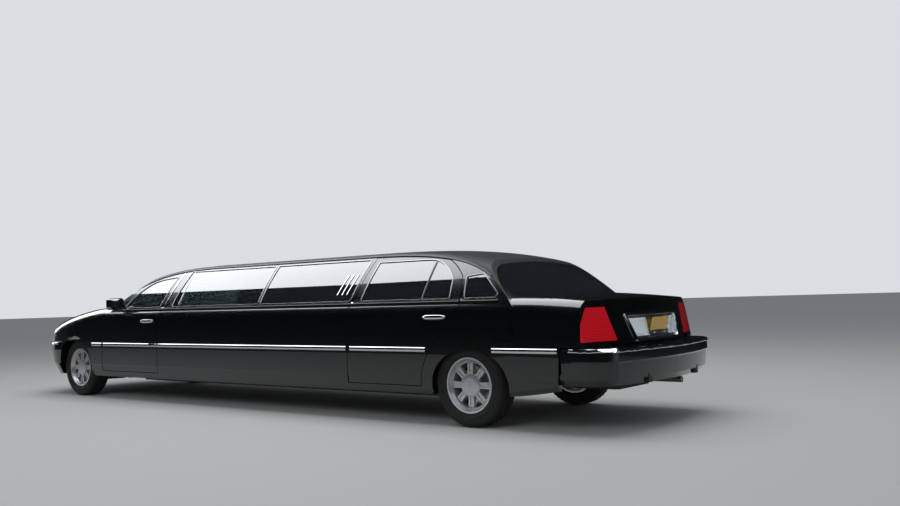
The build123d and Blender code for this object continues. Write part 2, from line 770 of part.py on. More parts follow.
lid_hinge = combine(
    block(LID_FRONT - 90, LID_FRONT + 60, 560, 590, 1000, 1100),
    keep_parts=[shifted(tail_hollow, dz=-SEAT_GAP)],
)
lid_hinge_root = combine(
    block(LID_FRONT + PANEL_GAP + 10, LID_FRONT + 60, 560, 590, 1000, 1100),
    keep_parts=[tail_0],
)
quarter_low = combine(
    tail_shell,
    cut_parts=[
        rear_arch,
        rear_tyre_room,
        lamp_zone,
        lid_gap,
        side_prism(bumper_side_outline, 0, OUTSIDE_Y),
        beside_lamps(300, 985, 0, REAR - 900),
        rear_door_cut,
        block(TAIL_END, REAR + 10, 0, 700, 0, 900),
    ],
)
quarter_mid = combine(
    lower_wall,
    keep_parts=[block(REAR_CLIP, SIDE_SPLIT_REAR, 0, OUTSIDE_Y, 0, 1600)],
    cut_parts=[
        rear_door_cut,
        rear_arch,
        rear_tyre_room,
        cylinder_y(REAR, AXLE_Z, WELL_R, 400, SIDE - FENDER_WALL),
    ],
)
quarter_up = combine(
    upper_wall,
    keep_parts=[block(REAR - 800, SIDE_SPLIT_REAR, 0, OUTSIDE_Y, 0, 1600)],
    cut_parts=[rear_door_cut],
)
quarter = combine(quarter_low, [quarter_mid, quarter_up, lid_hinge, lid_hinge_root])
opera_cut = side_prism(opera_outline, DOOR_INNER_Y, OUTSIDE_Y)
fuel_pocket = side_prism(fuel_outline, SIDE - 32, OUTSIDE_Y, FUEL_GAP)
quarter = combine(quarter, cut_parts=[opera_cut, rear_window_half])
write("quarter_panel_left", combine(quarter, cut_parts=[fuel_pocket]))
write("quarter_panel_right", mirrored(quarter))

# Rockers along the whole wheelbase
rocker_zone = block(
    REAR + TYRE_R, FRONT - ARCH_R - 40, INNER_Y, OUTSIDE_Y, SILL_Z, ROCKER_TOP_Z)
rocker = combine(
    combine(skin_0, [nose_0]),
    keep_parts=[rocker_zone],
    cut_parts=[rear_arch, rear_tyre_room],
)
write("rockers", both_sides(rocker))

# Floor pan with the firewall, the step over the rear axle and the trunk floor
FLOOR_Z = 300.0
FLOOR_SHEET = 25.0
STEP_Z = 560.0
TRUNK_FLOOR_Z = 470.0
TUNNEL_HALF = 95.0
TUNNEL_Z = 410.0


def floor_outline():
    """Side view of the floor: firewall, toe-board, floor, rear step, trunk."""
    top = (
        (FRONT - 655, 985),
        (FRONT - 700, 440),
        (FRONT - 900, FLOOR_Z),
        (REAR + 520, FLOOR_Z),
        (REAR + 460, STEP_Z),
        (REAR - 480, STEP_Z),
        (REAR - 560, TRUNK_FLOOR_Z),
        (REAR - 1130, TRUNK_FLOOR_Z),
    )
    low = [
        (REAR - 1130, TRUNK_FLOOR_Z - FLOOR_SHEET),
        (REAR - 574, TRUNK_FLOOR_Z - FLOOR_SHEET),
        (REAR - 494, STEP_Z - FLOOR_SHEET),
        (REAR + 440, STEP_Z - FLOOR_SHEET),
        (REAR + 500, FLOOR_Z - FLOOR_SHEET),
        (FRONT - 892, FLOOR_Z - FLOOR_SHEET),
        (FRONT - 675, 428),
        (FRONT - 630, 985),
    ]
    Polyline(*top, *low, close=True)


floor_half = side_prism(floor_outline, 0, INNER_Y)
rear_well = cylinder_y(REAR, AXLE_Z, WELL_R, REAR_TRACK / 2 - TYRE_W / 2 - 30, OUTSIDE_Y)
tunnel_hollow = block(REAR + 300, FRONT - 600, 0, TUNNEL_HALF, 0, TUNNEL_Z)
tunnel_zone = block(REAR + 470, FRONT - 720, 0, TUNNEL_HALF + 20, FLOOR_Z - 20, TUNNEL_Z + 20)
floor_half = combine(floor_half, [tunnel_zone], [rear_well, tunnel_hollow])
write("floor_pan", both_sides(floor_half))

# Bumpers: one plan outline at several heights, drawn in towards top and bottom
def bumper_plan(end, side, corner, tip, back, inset):
    """Half plan of a bumper: straight side, round corner, bowed face."""
    (x1, y1), (x2, y2), x3 = side, corner, tip
    sign = 1 if x3 > x1 else -1
    y1, y2, x2, x3 = y1 - inset, y2 - inset / 2, x2 - sign * inset, x3 - sign * inset
    Line((end, y1), (x1, y1))
    TangentArc((x1, y1), (x2, y2), tangent=(sign, 0))
    TangentArc((x3, 0), (x2, y2), tangent=(0, 1))
    if back:
        x4 = x2 - sign * back
        Polyline((x3, 0), (x3 - sign * (back + 40), 0), (x4, y2 - back))
        Polyline((x4, y2 - back), (x1, y1 - back), (end, y1 - back), (end, y1))
    else:
        Polyline((x3, 0), (end, 0), (end, y1))


def bumper(end, side, corner, tip, back, levels):
    """Left half of a bumper, lofted through its heights."""
    with BuildPart() as half:
        for z, inset in levels:
            with BuildSketch(Plane.XY.offset(z)):
                with BuildLine():
                    bumper_plan(end, side, corner, tip, back, inset)
                make_face()
        loft(ruled=True)
    return half.part


LEDGE = 16.0
FRONT_BUMPER = (
    FRONT + 300 + PANEL_GAP,
    (FRONT + 420, SIDE - 19),
    (FRONT + 905, 680),
    FRONT + FRONT_OVERHANG,
)
FRONT_BUMPER_LEVELS = ((255, 90), (400, 22), (560, 0), (640, 4), (BUMPER_TOP_Z, 16))
front_bumper_half = combine(
    bumper(*FRONT_BUMPER, 60, FRONT_BUMPER_LEVELS),
    cut_parts=[cylinder_y(FRONT, AXLE_Z, WELL_R, 0, SIDE - FENDER_WALL), front_arch],
)
front_ledge = combine(
    bumper(*FRONT_BUMPER, 0, ((BUMPER_TOP_Z - LEDGE, 6), (BUMPER_TOP_Z, 16))),
    keep_parts=[block(FRONT + 450, FRONT + 1200, 0, OUTSIDE_Y, 0, BUMPER_TOP_Z)],
    cut_parts=[nose_0],
)
front_bumper_half = combine(front_bumper_half, [front_ledge])
write("front_bumper", both_sides(front_bumper_half))
REAR_BUMPER = (
    REAR_BUMPER_END - PANEL_GAP,
    (REAR - 1080, SIDE - 8),
    (REAR - 1325, 820),
    REAR - REAR_OVERHANG,
)
REAR_BUMPER_LEVELS = ((372, 62), (420, 20), (546, 14), (560, 0), (640, 2), (BUMPER_TOP_Z, 14))
rear_ledge = combine(
    bumper(*REAR_BUMPER, 0, ((BUMPER_TOP_Z - LEDGE, 6), (BUMPER_TOP_Z, 14))),
    cut_parts=[tail_0],
)
rear_bumper_half = combine(bumper(*REAR_BUMPER, 50, REAR_BUMPER_LEVELS), [rear_ledge])
write("rear_bumper", both_sides(rear_bumper_half))

# Chassis: two rails, raised over the rear axle and at the nose
RAIL_Y = 430.0
RAIL_W = 64.0
RAIL_LOW_Z = 180.0
RAIL_HIGH_Z = FLOOR_Z - FLOOR_SHEET
NOSE_RAIL_Z = (300, 390)
STEP_RAIL_Z = (450, STEP_Z - FLOOR_SHEET - 1)
TAIL_RAIL_Z = (375, TRUNK_FLOOR_Z - FLOOR_SHEET)


def rail_outline():
    """Side view of a frame rail."""
    Polyline(
        (FRONT + 850, NOSE_RAIL_Z[1]),
        (FRONT - 480, NOSE_RAIL_Z[1]),
        (FRONT - 760, RAIL_HIGH_Z),
        (REAR + 490, RAIL_HIGH_Z),
        (REAR + 430, STEP_RAIL_Z[1]),
        (REAR - 470, STEP_RAIL_Z[1]),
        (REAR - 560, TAIL_RAIL_Z[1]),
        (REAR - 1380, TAIL_RAIL_Z[1]),
        (REAR - 1380, TAIL_RAIL_Z[0]),
        (REAR - 620, TAIL_RAIL_Z[0]),
        (REAR - 500, STEP_RAIL_Z[0]),
        (REAR + 370, STEP_RAIL_Z[0]),
        (REAR + 460, RAIL_LOW_Z),
        (FRONT - 740, RAIL_LOW_Z),
        (FRONT - 460, NOSE_RAIL_Z[0]),
        (FRONT + 850, NOSE_RAIL_Z[0]),
        close=True,
    )


rail = side_prism(rail_outline, RAIL_Y - RAIL_W / 2, RAIL_Y + RAIL_W / 2)
write("chassis_frame", both_sides(combine(rail, cut_parts=[front_bumper_half, rear_bumper_half])))

# Cross-members between the rails, and outriggers from the rails to the sills
MEMBER_HALF = 40.0
MEMBER_LOW_Z = 200.0
MEMBER_HIGH_Z = RAIL_HIGH_Z - 7
OUTRIGGER_LOW_Z = 245.0
MEMBERS = (
    (FRONT + 700, NOSE_RAIL_Z[0] + 5, NOSE_RAIL_Z[1] - 5),
    (FRONT - 900, MEMBER_LOW_Z, MEMBER_HIGH_Z),
    (FRONT - 2400, MEMBER_LOW_Z, MEMBER_HIGH_Z),
    ((FRONT + REAR) / 2, MEMBER_LOW_Z, MEMBER_HIGH_Z),
    (REAR + 1600, MEMBER_LOW_Z, MEMBER_HIGH_Z),
    (REAR + 700, MEMBER_LOW_Z, MEMBER_HIGH_Z),
    (REAR - 1150, TAIL_RAIL_Z[0] + 5, TAIL_RAIL_Z[1] - 5),
)
with BuildPart() as cross_members:
    for x, z_low, z_high in MEMBERS:
        add(block(x - MEMBER_HALF, x + MEMBER_HALF, 0, RAIL_Y - RAIL_W / 2, z_low, z_high))
    for x in (FRONT - 1000, FRONT - 2500, REAR + 2000, REAR + 900):
        add(block(
            x - MEMBER_HALF, x + MEMBER_HALF, RAIL_Y + RAIL_W / 2, INNER_Y, OUTRIGGER_LOW_Z, RAIL_HIGH_Z))
    mirror(about=Plane.XZ)
write("cross_members", cross_members.part)

# Engine block, between the rails
ENGINE_REAR = FRONT - 560
engine = block(ENGINE_REAR, FRONT + 180, -290, 290, 330, 840)
write("engine", engine)

# Radiator, standing on the rails behind the grille
RADIATOR_X = FRONT + 430
RADIATOR_HALF = RAIL_Y + 20
RADIATOR_TOP_Z = 800.0
with BuildPart() as radiator:
    add(block(
        RADIATOR_X,
        RADIATOR_X + 50,
        -RADIATOR_HALF,
        RADIATOR_HALF,
        NOSE_RAIL_Z[1] + SEAT_GAP,
        RADIATOR_TOP_Z,
    ))
    add(block(RADIATOR_X + 50, RADIATOR_X + 58, -360, 360, 430, RADIATOR_TOP_Z - 40), mode=Mode.SUBTRACT)
    add(block(RADIATOR_X + 40, RADIATOR_X + 50, -360, 360, 430, RADIATOR_TOP_Z - 40), mode=Mode.SUBTRACT)
write("radiator", radiator.part)

# Fuel tank, seated under the trunk floor
TANK_FRONT = REAR - 640
TANK_REAR = REAR - 1080
with BuildPart() as fuel_tank:
    add(block(TANK_REAR, TANK_FRONT, -180, RAIL_Y - RAIL_W / 2 - 8, 300, TAIL_RAIL_Z[1] - SEAT_GAP))
    fillet(fuel_tank.edges().filter_by(Axis.Z), radius=50)
write("fuel_tank", fuel_tank.part)

# Exhaust: one pipe under the cross-members and over the rear axle
EXHAUST_Y = -250.0
EXHAUST_R = 26.0
EXHAUST_Z = MEMBER_LOW_Z - EXHAUST_R - SEAT_GAP
EXHAUST_BEND = 60.0
with BuildPart() as exhaust_system:
    with BuildLine() as exhaust_path:
        FilletPolyline(
            (ENGINE_REAR - SEAT_GAP, EXHAUST_Y, 365),
            (FRONT - 660, EXHAUST_Y, 365),
            (FRONT - 820, EXHAUST_Y, EXHAUST_Z),
            (REAR + 520, EXHAUST_Y, EXHAUST_Z),
            (REAR + 260, EXHAUST_Y, 462),
            (REAR - 260, EXHAUST_Y, 462),
            (REAR - 500, EXHAUST_Y, 335),
            (REAR - 1330, EXHAUST_Y, 335),
            radius=EXHAUST_BEND,
        )
    with BuildSketch(Plane(origin=exhaust_path.line @ 0, z_dir=(-1, 0, 0))):
        Circle(EXHAUST_R)
    sweep()
    with BuildSketch(Plane.YZ.offset(REAR + 820)):
        with Locations((EXHAUST_Y, EXHAUST_Z)):
            SlotOverall(200, 100)
    extrude(amount=620)
write("exhaust_system", exhaust_system.part)

# Wheels and tyres
CAP_R = 92.0
BRAKE_R = 150.0
SPOKE_FACE = 70.0
SPOKE_BACK = 30.0
CHANNEL_DEPTH = 8.0
SPOKE_ANGLE = 360.0 / SPOKES


def spoke_window():
    """Opening between two spokes, seen along the axle; x runs out to the rim."""
    Line((98, -14), (181, -44))
    ThreePointArc((181, -44), (186, 0), (181, 44))
    Polyline((181, 44), (98, 14), (98, -14))


def wheel_solid(x, y, outward):
    """Eight-spoke alloy wheel with its brake disc; outward is +1 on the left."""
    half = RIM_W / 2
    with BuildPart() as wheel:
        with BuildSketch(Plane.XY):
            with BuildLine():
                Polyline(
                    (RIM_R, -half), (RIM_R, -half + 10), (RIM_R - 16, -half + 16),
                    (RIM_R - 30, -20), (RIM_R - 30, 40), (RIM_R - 14, half - 14),
                    (RIM_R, half - 8), (RIM_R, half), (RIM_R - 14, half),
                    (RIM_R - 24, half - 20), (RIM_R - 42, 44), (RIM_R - 42, -22),
                    (RIM_R - 26, -half + 6), (RIM_R - 20, -half), close=True,
                )
            make_face()
        revolve(axis=Axis.Y)
        with BuildSketch(Plane.XY):
            with BuildLine():
                Polyline(
                    (60, SPOKE_BACK + 4), (RIM_R - 34, SPOKE_BACK), (RIM_R - 34, 58), (172, SPOKE_FACE),
                    (60, SPOKE_FACE), close=True,
                )
            make_face()
        revolve(axis=Axis.Y)
        for i in range(SPOKES):
            window_plane = Plane.XZ.offset(10 - SPOKE_BACK).rotated((0, (i + 0.5) * SPOKE_ANGLE, 0))
            with BuildSketch(window_plane) as window:
                with BuildLine():
                    spoke_window()
                make_face()
                fillet(window.vertices(), radius=6)
            extrude(amount=-60, mode=Mode.SUBTRACT)
            channel_plane = Plane.XZ.offset(CHANNEL_DEPTH - SPOKE_FACE).rotated((0, i * SPOKE_ANGLE, 0))
            with BuildSketch(channel_plane):
                with BuildLine():
                    Polyline((100, -8), (180, -13), (180, 13), (100, 8), close=True)
                make_face()
            extrude(amount=-20, mode=Mode.SUBTRACT)
        with BuildSketch(Plane.XY):
            with BuildLine():
                Polyline(
                    (20.3, -45), (BRAKE_R, -45), (BRAKE_R, -22), (70, -22), (70, 30), (CAP_R, 52),
                    (CAP_R, 74), (84, 80), (60, 84), (0, 86), (0, 40), (20.3, 40), close=True,
                )
            make_face()
        revolve(axis=Axis.Y)
    placed = wheel.part if outward > 0 else mirrored(wheel.part)
    return shifted(placed, x, y, AXLE_Z)


def tyre_solid(x, y, outward):
    """Tyre on its rim."""
    half = TYRE_W / 2
    with BuildPart() as tyre:
        with BuildSketch(Plane.XY):
            with BuildLine():
                Polyline(
                    (RIM_R + SEAT_GAP, -half + 22), (RIM_R + 40, -half), (TYRE_R - 34, -half + 2),
                    (TYRE_R - 8, -half + 22), (TYRE_R, -half + 50), (TYRE_R, half - 50),
                    (TYRE_R - 8, half - 22), (TYRE_R - 34, half - 2), (RIM_R + 40, half),
                    (RIM_R + SEAT_GAP, half - 22), close=True,
                )
            make_face()
        revolve(axis=Axis.Y)
    return shifted(tyre.part, x, y, AXLE_Z)


CORNERS = (
    ("front_left", FRONT, FRONT_TRACK / 2, 1),
    ("front_right", FRONT, -FRONT_TRACK / 2, -1),
    ("rear_left", REAR, REAR_TRACK / 2, 1),
    ("rear_right", REAR, -REAR_TRACK / 2, -1),
)
for corner, x, y, outward in CORNERS:
    write("wheel_" + corner, wheel_solid(x, y, outward))
    write("tyre_" + corner, tyre_solid(x, y, outward))

# Knuckles: kingpin, spindle and caliper, turning about an upright axis
KINGPIN_Y = FRONT_TRACK / 2 - KINGPIN_IN
ARM_Z = 150.0
ARM_HALF = 20.0
KINGPIN_HALF = ARM_Z - ARM_HALF - SEAT_GAP


def knuckle_solid():
    """Left steering knuckle."""
    with BuildPart() as knuckle:
        add(cylinder_z(FRONT, KINGPIN_Y, 20, AXLE_Z - KINGPIN_HALF, AXLE_Z + KINGPIN_HALF))
        add(cylinder_y(FRONT, AXLE_Z, 34, KINGPIN_Y - 20, FRONT_TRACK / 2 - 50))
        add(cylinder_y(FRONT, AXLE_Z, 20, KINGPIN_Y, FRONT_TRACK / 2 + 35))
        add(block(FRONT - 150, FRONT - 10, KINGPIN_Y - 12, KINGPIN_Y + 12, AXLE_Z - 30, AXLE_Z + 30))
        add(block(FRONT - 178, FRONT - 120, KINGPIN_Y - 12, FRONT_TRACK / 2 - 50, AXLE_Z - 60, AXLE_Z + 60))
    return knuckle.part


knuckle = knuckle_solid()
write("knuckle_left", knuckle)
write("knuckle_right", mirrored(knuckle))

# Front suspension: arms from the rails to the kingpins
ARM_ROOT_Y = RAIL_Y + RAIL_W / 2
SUBFRAME_IN_Y = RAIL_Y - RAIL_W / 2 - 30


def arm_outline():
    """Plan of a suspension arm, wide at the rail and narrow at the kingpin."""
    Polyline(
        (FRONT - 130, ARM_ROOT_Y), (FRONT - 24, KINGPIN_Y + 22), (FRONT + 24, KINGPIN_Y + 22),
        (FRONT + 130, ARM_ROOT_Y), (FRONT + 70, ARM_ROOT_Y), (FRONT, KINGPIN_Y - 60),
        (FRONT - 70, ARM_ROOT_Y), close=True,
    )


with BuildPart() as front_suspension:
    for z in (AXLE_Z - ARM_Z, AXLE_Z + ARM_Z):
        add(plan_prism(arm_outline, z - ARM_HALF, z + ARM_HALF))
        add(block(FRONT - 140, FRONT + 140, SUBFRAME_IN_Y, ARM_ROOT_Y + 6, z - ARM_HALF, z + ARM_HALF))
    add(block(FRONT - 60, FRONT + 60, SUBFRAME_IN_Y, ARM_ROOT_Y + 6, AXLE_Z - ARM_Z, AXLE_Z + ARM_Z))
    add(block(FRONT - 60, FRONT + 60, 0, RAIL_Y, AXLE_Z - ARM_Z - 20, AXLE_Z - ARM_Z + 30))
    add(rail, mode=Mode.SUBTRACT)
    add(engine, mode=Mode.SUBTRACT)
    mirror(about=Plane.XZ)
write("front_suspension", front_suspension.part)

# Rear axle: tube, differential and stub shafts in the wheel hubs
with BuildPart() as rear_axle:
    add(cylinder_y(REAR, AXLE_Z, 42, 0, REAR_TRACK / 2 - 50))
    add(cylinder_y(REAR, AXLE_Z, 20, 0, REAR_TRACK / 2 + 35))
    add(block(REAR - 60, REAR + 60, RAIL_Y - 30, RAIL_Y + 30, AXLE_Z, 450))
    mirror(about=Plane.XZ)
    with Locations((REAR, 0, AXLE_Z)):
        Sphere(120)
write("rear_axle", rear_axle.part)

with BuildPart() as driveshaft:
    with BuildSketch(Plane.YZ.offset(REAR + 120 + SEAT_GAP)):
        with Locations((0, 345)):
            Circle(40)
    with BuildSketch(Plane.YZ.offset(FRONT - 560)):
        with Locations((0, 362)):
            Circle(40)
    loft()
write("driveshaft", driveshaft.part)

# Steering wheel and its column, turning about a raked axis
WHEEL_X = FRONT - 1180
WHEEL_Z = 930.0
WHEEL_Y = 360.0
WHEEL_TILT = 25.0
COLUMN_LENGTH = 120.0
column_plane = Plane(
    origin=(WHEEL_X, WHEEL_Y, WHEEL_Z),
    z_dir=(-math.cos(math.radians(WHEEL_TILT)), 0, math.sin(math.radians(WHEEL_TILT))),
)
with BuildPart() as steering_wheel:
    with BuildSketch(column_plane):
        Circle(190)
        Circle(160, mode=Mode.SUBTRACT)
        Rectangle(340, 40)
        Circle(60)
    extrude(amount=26)
    with BuildSketch(column_plane):
        Circle(20)
    extrude(amount=-COLUMN_LENGTH)
write("steering_wheel", steering_wheel.part)

# Interior: dashboard with the column's shroud, seats and partition
DASH_REAR = FRONT - 1010
with BuildPart() as dashboard:
    add(block(DASH_REAR, FRONT - 720, -INNER_Y + 6, INNER_Y - 6, 620, 1010 - SEAT_GAP))
    with BuildSketch(column_plane.offset(-COLUMN_LENGTH - SEAT_GAP)):
        Circle(34)
    extrude(amount=-110)
write("dashboard", dashboard.part)
with BuildPart() as front_seats:
    add(block(FRONT - 1720, FRONT - 1200, 130, 690, FLOOR_Z, 560))
    add(block(FRONT - 1860, FRONT - 1720, 130, 690, 420, 1100))
    mirror(about=Plane.XZ)
write("front_seats", front_seats.part)
partition_half = combine(
    block(FRONT - 2040, FRONT - 1980, 0, INNER_Y, FLOOR_Z, 1020),
    cut_parts=[tunnel_zone, tunnel_hollow],
)
write("partition", both_sides(partition_half))
with BuildPart() as passenger_seats:
    add(block(REAR + 330, REAR + 900, -700, 700, FLOOR_Z + 262, 640))
    add(block(REAR + 180, REAR + 330, -700, 700, STEP_Z, 1130))
write("passenger_seats", passenger_seats.part)

# Door mirrors on their sail corners
with BuildPart() as door_mirror:
    with Locations((FRONT - 1010, SIDE + 50, 1112)):
        Box(90, 170, 128)
    fillet(door_mirror.edges().filter_by(Axis.X), radius=36)
    add(block(FRONT - 1040, FRONT - 980, SIDE - 80, SIDE + 10, 1045, 1085))
    add(front_door, mode=Mode.SUBTRACT)
write("door_mirror_left", door_mirror.part)
write("door_mirror_right", mirrored(door_mirror.part))
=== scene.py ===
import math

import bmesh
import bpy
from mathutils import Matrix, Vector
from mathutils.bvhtree import BVHTree
from mathutils.geometry import convex_hull_2d


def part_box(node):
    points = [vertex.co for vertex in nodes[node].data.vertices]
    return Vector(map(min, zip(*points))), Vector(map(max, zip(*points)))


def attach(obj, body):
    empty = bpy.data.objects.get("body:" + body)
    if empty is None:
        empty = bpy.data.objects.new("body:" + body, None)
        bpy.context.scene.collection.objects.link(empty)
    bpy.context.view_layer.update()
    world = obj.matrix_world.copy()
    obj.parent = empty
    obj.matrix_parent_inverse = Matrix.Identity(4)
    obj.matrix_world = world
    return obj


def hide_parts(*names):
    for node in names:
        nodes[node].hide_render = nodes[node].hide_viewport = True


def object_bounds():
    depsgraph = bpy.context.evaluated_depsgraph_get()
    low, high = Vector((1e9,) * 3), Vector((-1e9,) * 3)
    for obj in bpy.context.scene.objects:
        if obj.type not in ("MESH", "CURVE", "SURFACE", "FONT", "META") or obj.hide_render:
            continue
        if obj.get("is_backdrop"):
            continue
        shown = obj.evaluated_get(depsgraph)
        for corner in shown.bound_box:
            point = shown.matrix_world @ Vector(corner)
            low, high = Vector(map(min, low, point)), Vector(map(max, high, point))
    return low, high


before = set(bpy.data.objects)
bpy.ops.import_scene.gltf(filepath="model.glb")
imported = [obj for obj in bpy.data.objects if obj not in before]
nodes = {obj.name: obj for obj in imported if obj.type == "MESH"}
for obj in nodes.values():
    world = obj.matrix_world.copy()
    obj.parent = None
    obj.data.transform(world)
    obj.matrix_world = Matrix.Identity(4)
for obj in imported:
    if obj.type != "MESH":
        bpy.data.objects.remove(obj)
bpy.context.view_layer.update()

scene = bpy.context.scene
scene.view_settings.view_transform = "Standard"

# Floor, surround and light
# A pale seamless floor under a bright overcast sky. Dark hedges stand as two
# long straight walls beside the car, which only its gloss can see.


def srgb(code, alpha=1.0):
    """A hex colour as written on a paint card, in linear light."""
    channels = []
    for i in (1, 3, 5):
        c = int(code[i:i + 2], 16) / 255
        channels.append(c / 12.92 if c <= 0.04045 else ((c + 0.055) / 1.055) ** 2.4)
    return (*channels, alpha)


def put(tree, kind, inputs=None, **settings):
    """Adds one node with its settings, values and links."""
    made = tree.nodes.new(kind)
    for key, value in settings.items():
        setattr(made, key, value)
    for key, value in (inputs or {}).items():
        if isinstance(value, bpy.types.NodeSocket):
            tree.links.new(value, made.inputs[key])
        else:
            made.inputs[key].default_value = value
    return made


def material(name, colour, **surface):
    """A material with its main shader's own colour and values set."""
    made = bpy.data.materials.new(name)
    made.use_nodes = True
    shader = made.node_tree.nodes["Principled BSDF"]
    shader.inputs["Base Color"].default_value = srgb(colour)
    for key, value in surface.items():
        shader.inputs[key.replace("_", " ")].default_value = value
    return made, made.node_tree, shader


def two_tone(tree, shader, pattern, dark, pale):
    """Lays a pattern into the base colour between two colours."""
    tone = put(tree, "ShaderNodeMixRGB", {"Fac": pattern, "Color1": srgb(dark), "Color2": srgb(pale)})
    tree.links.new(tone.outputs["Color"], shader.inputs["Base Color"])


def relief(tree, shader, pattern, strength, distance, socket="Normal"):
    """Lays a pattern into the surface relief; distance in metres."""
    bump = put(tree, "ShaderNodeBump", {"Strength": strength, "Distance": distance, "Height": pattern})
    tree.links.new(bump.outputs["Normal"], shader.inputs[socket])


def mesh_piece(name, bm, finish, smooth_angle=35.0):
    """Turns built mesh data into an object with its finish."""
    bmesh.ops.recalc_face_normals(bm, faces=bm.faces)
    mesh = bpy.data.meshes.new(name)
    bm.to_mesh(mesh)
    bm.free()
    piece = bpy.data.objects.new(name, mesh)
    scene.collection.objects.link(piece)
    mesh.materials.append(finish)
    mesh.shade_smooth()
    mesh.set_sharp_from_angle(angle=math.radians(smooth_angle))
    return piece


FLOOR_MOTTLE_MM = 2800.0
floor_finish, tree, shader = material("matt floor paper", "#A8A9A9", Roughness=0.9, Specular_IOR_Level=0.0)
mottle = put(tree, "ShaderNodeTexNoise", {"Scale": 1000 / FLOOR_MOTTLE_MM, "Detail": 3.0})
two_tone(tree, shader, mottle.outputs["Fac"], "#A4A5A5", "#ADAEAE")
bm = bmesh.new()
bmesh.ops.create_circle(bm, cap_ends=True, segments=96, radius=120.0)
mesh_piece("floor", bm, floor_finish)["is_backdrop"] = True

HEDGE_AWAY = 4.2
HEDGE_FOOT = 0.3
HEDGE_TOP = 10.2
HEDGE_LENGTH = 60.0
hedge_finish = bpy.data.materials.new("dark hedge cloth")
hedge_finish.use_nodes = True
tree = hedge_finish.node_tree
tree.nodes.clear()
glow = put(tree, "ShaderNodeEmission", {"Color": srgb("#15181A"), "Strength": 1.0})
put(tree, "ShaderNodeOutputMaterial", {"Surface": glow.outputs["Emission"]})
for side in (-1, 1):
    bm = bmesh.new()
    corners = [
        bm.verts.new((x, side * HEDGE_AWAY, z))
        for x, z in (
            (-HEDGE_LENGTH, HEDGE_FOOT), (HEDGE_LENGTH, HEDGE_FOOT),
            (HEDGE_LENGTH, HEDGE_TOP), (-HEDGE_LENGTH, HEDGE_TOP),
        )
    ]
    bm.faces.new(corners)
    hedge = mesh_piece("hedge_wall_" + ("left" if side > 0 else "right"), bm, hedge_finish)
    for ray in ("camera", "diffuse", "shadow", "transmission", "volume_scatter"):
        setattr(hedge, "visible_" + ray, False)
    hedge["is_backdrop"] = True

world = bpy.data.worlds.new("overcast sky")
scene.world = world
world.use_nodes = True
tree = world.node_tree
tree.nodes.clear()
paths = put(tree, "ShaderNodeLightPath")
seen = put(
    tree, "ShaderNodeMath", {0: paths.outputs["Is Camera Ray"], 1: paths.outputs["Is Transmission Ray"]},
    operation="MAXIMUM",
)
level = put(tree, "ShaderNodeMapRange", {"Value": seen.outputs[0], "To Min": 0.5, "To Max": 0.8})
bright = put(tree, "ShaderNodeMath", {0: paths.outputs["Is Glossy Ray"], 1: 4.4}, operation="MULTIPLY")
total = put(tree, "ShaderNodeMath", {0: level.outputs[0], 1: bright.outputs[0]}, operation="ADD")
sky = put(tree, "ShaderNodeBackground", {"Color": srgb("#F1F5FA"), "Strength": total.outputs[0]})
put(tree, "ShaderNodeOutputWorld", {"Surface": sky.outputs["Background"]})


def softbox(name, place, aim, size, power):
    """A rectangular lamp aimed at a point."""
    lamp = bpy.data.lights.new(name, "AREA")
    lamp.shape = "RECTANGLE"
    lamp.size, lamp.size_y = size
    lamp.energy = power
    lamp_object = bpy.data.objects.new(name, lamp)
    scene.collection.objects.link(lamp_object)
    lamp_object.location = place
    lamp_object.rotation_euler = (Vector(aim) - Vector(place)).to_track_quat("-Z", "Y").to_euler()
    lamp_object.visible_glossy = False


softbox("overhead", (0, 0, 9.5), (0, 0, 0), (13.0, 7.0), 820)
softbox("street side", (-3, 12, 7), (-0.5, 0, 0.6), (8.0, 4.0), 380)

# Camera: standing at the car's rear left, at chest height
CAMERA_PLACE = (-7.3195, 6.83, 1.07)
CAMERA_YAW = -51.8
CAMERA_PITCH = 2.82
CAMERA_ROLL = -1.72
camera = bpy.data.objects.new("camera", bpy.data.cameras.new("camera"))
scene.collection.objects.link(camera)
camera.data.sensor_width = 36.0
camera.data.lens = 36.0
camera.matrix_world = (
    Matrix.Translation(CAMERA_PLACE)
    @ Matrix.Rotation(math.radians(CAMERA_YAW - 90), 4, "Z")
    @ Matrix.Rotation(math.radians(90 + CAMERA_PITCH), 4, "X")
    @ Matrix.Rotation(math.radians(CAMERA_ROLL), 4, "Z")
)
scene.camera = camera


# Frame, floor and running gear
# Pressed and welded steel in satin black chassis paint, dulled by road dust;
# the engine and knuckles are bare castings and the exhaust is coated steel.
def finish_nodes(finish, *names, smooth_angle=32.0):
    """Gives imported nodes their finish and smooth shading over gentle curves."""
    for name in names:
        mesh = nodes[name].data
        mesh.materials.clear()
        mesh.materials.append(finish)
        mesh.shade_smooth()
        mesh.set_sharp_from_angle(angle=math.radians(smooth_angle))


DUST_PATCH_MM = 60.0
chassis_paint, tree, shader = material("satin chassis paint", "#1A1A1A", Roughness=0.55)
dust = put(tree, "ShaderNodeTexNoise", {"Scale": 1000 / DUST_PATCH_MM, "Detail": 6.0})
two_tone(tree, shader, dust.outputs["Fac"], "#101010", "#262422")
rough = put(tree, "ShaderNodeMapRange", {"Value": dust.outputs["Fac"], "To Min": 0.45, "To Max": 0.8})
tree.links.new(rough.outputs[0], shader.inputs["Roughness"])
finish_nodes(chassis_paint, "chassis_frame", "cross_members", "floor_pan", "rear_axle", "front_suspension",
             "driveshaft", "fuel_tank")

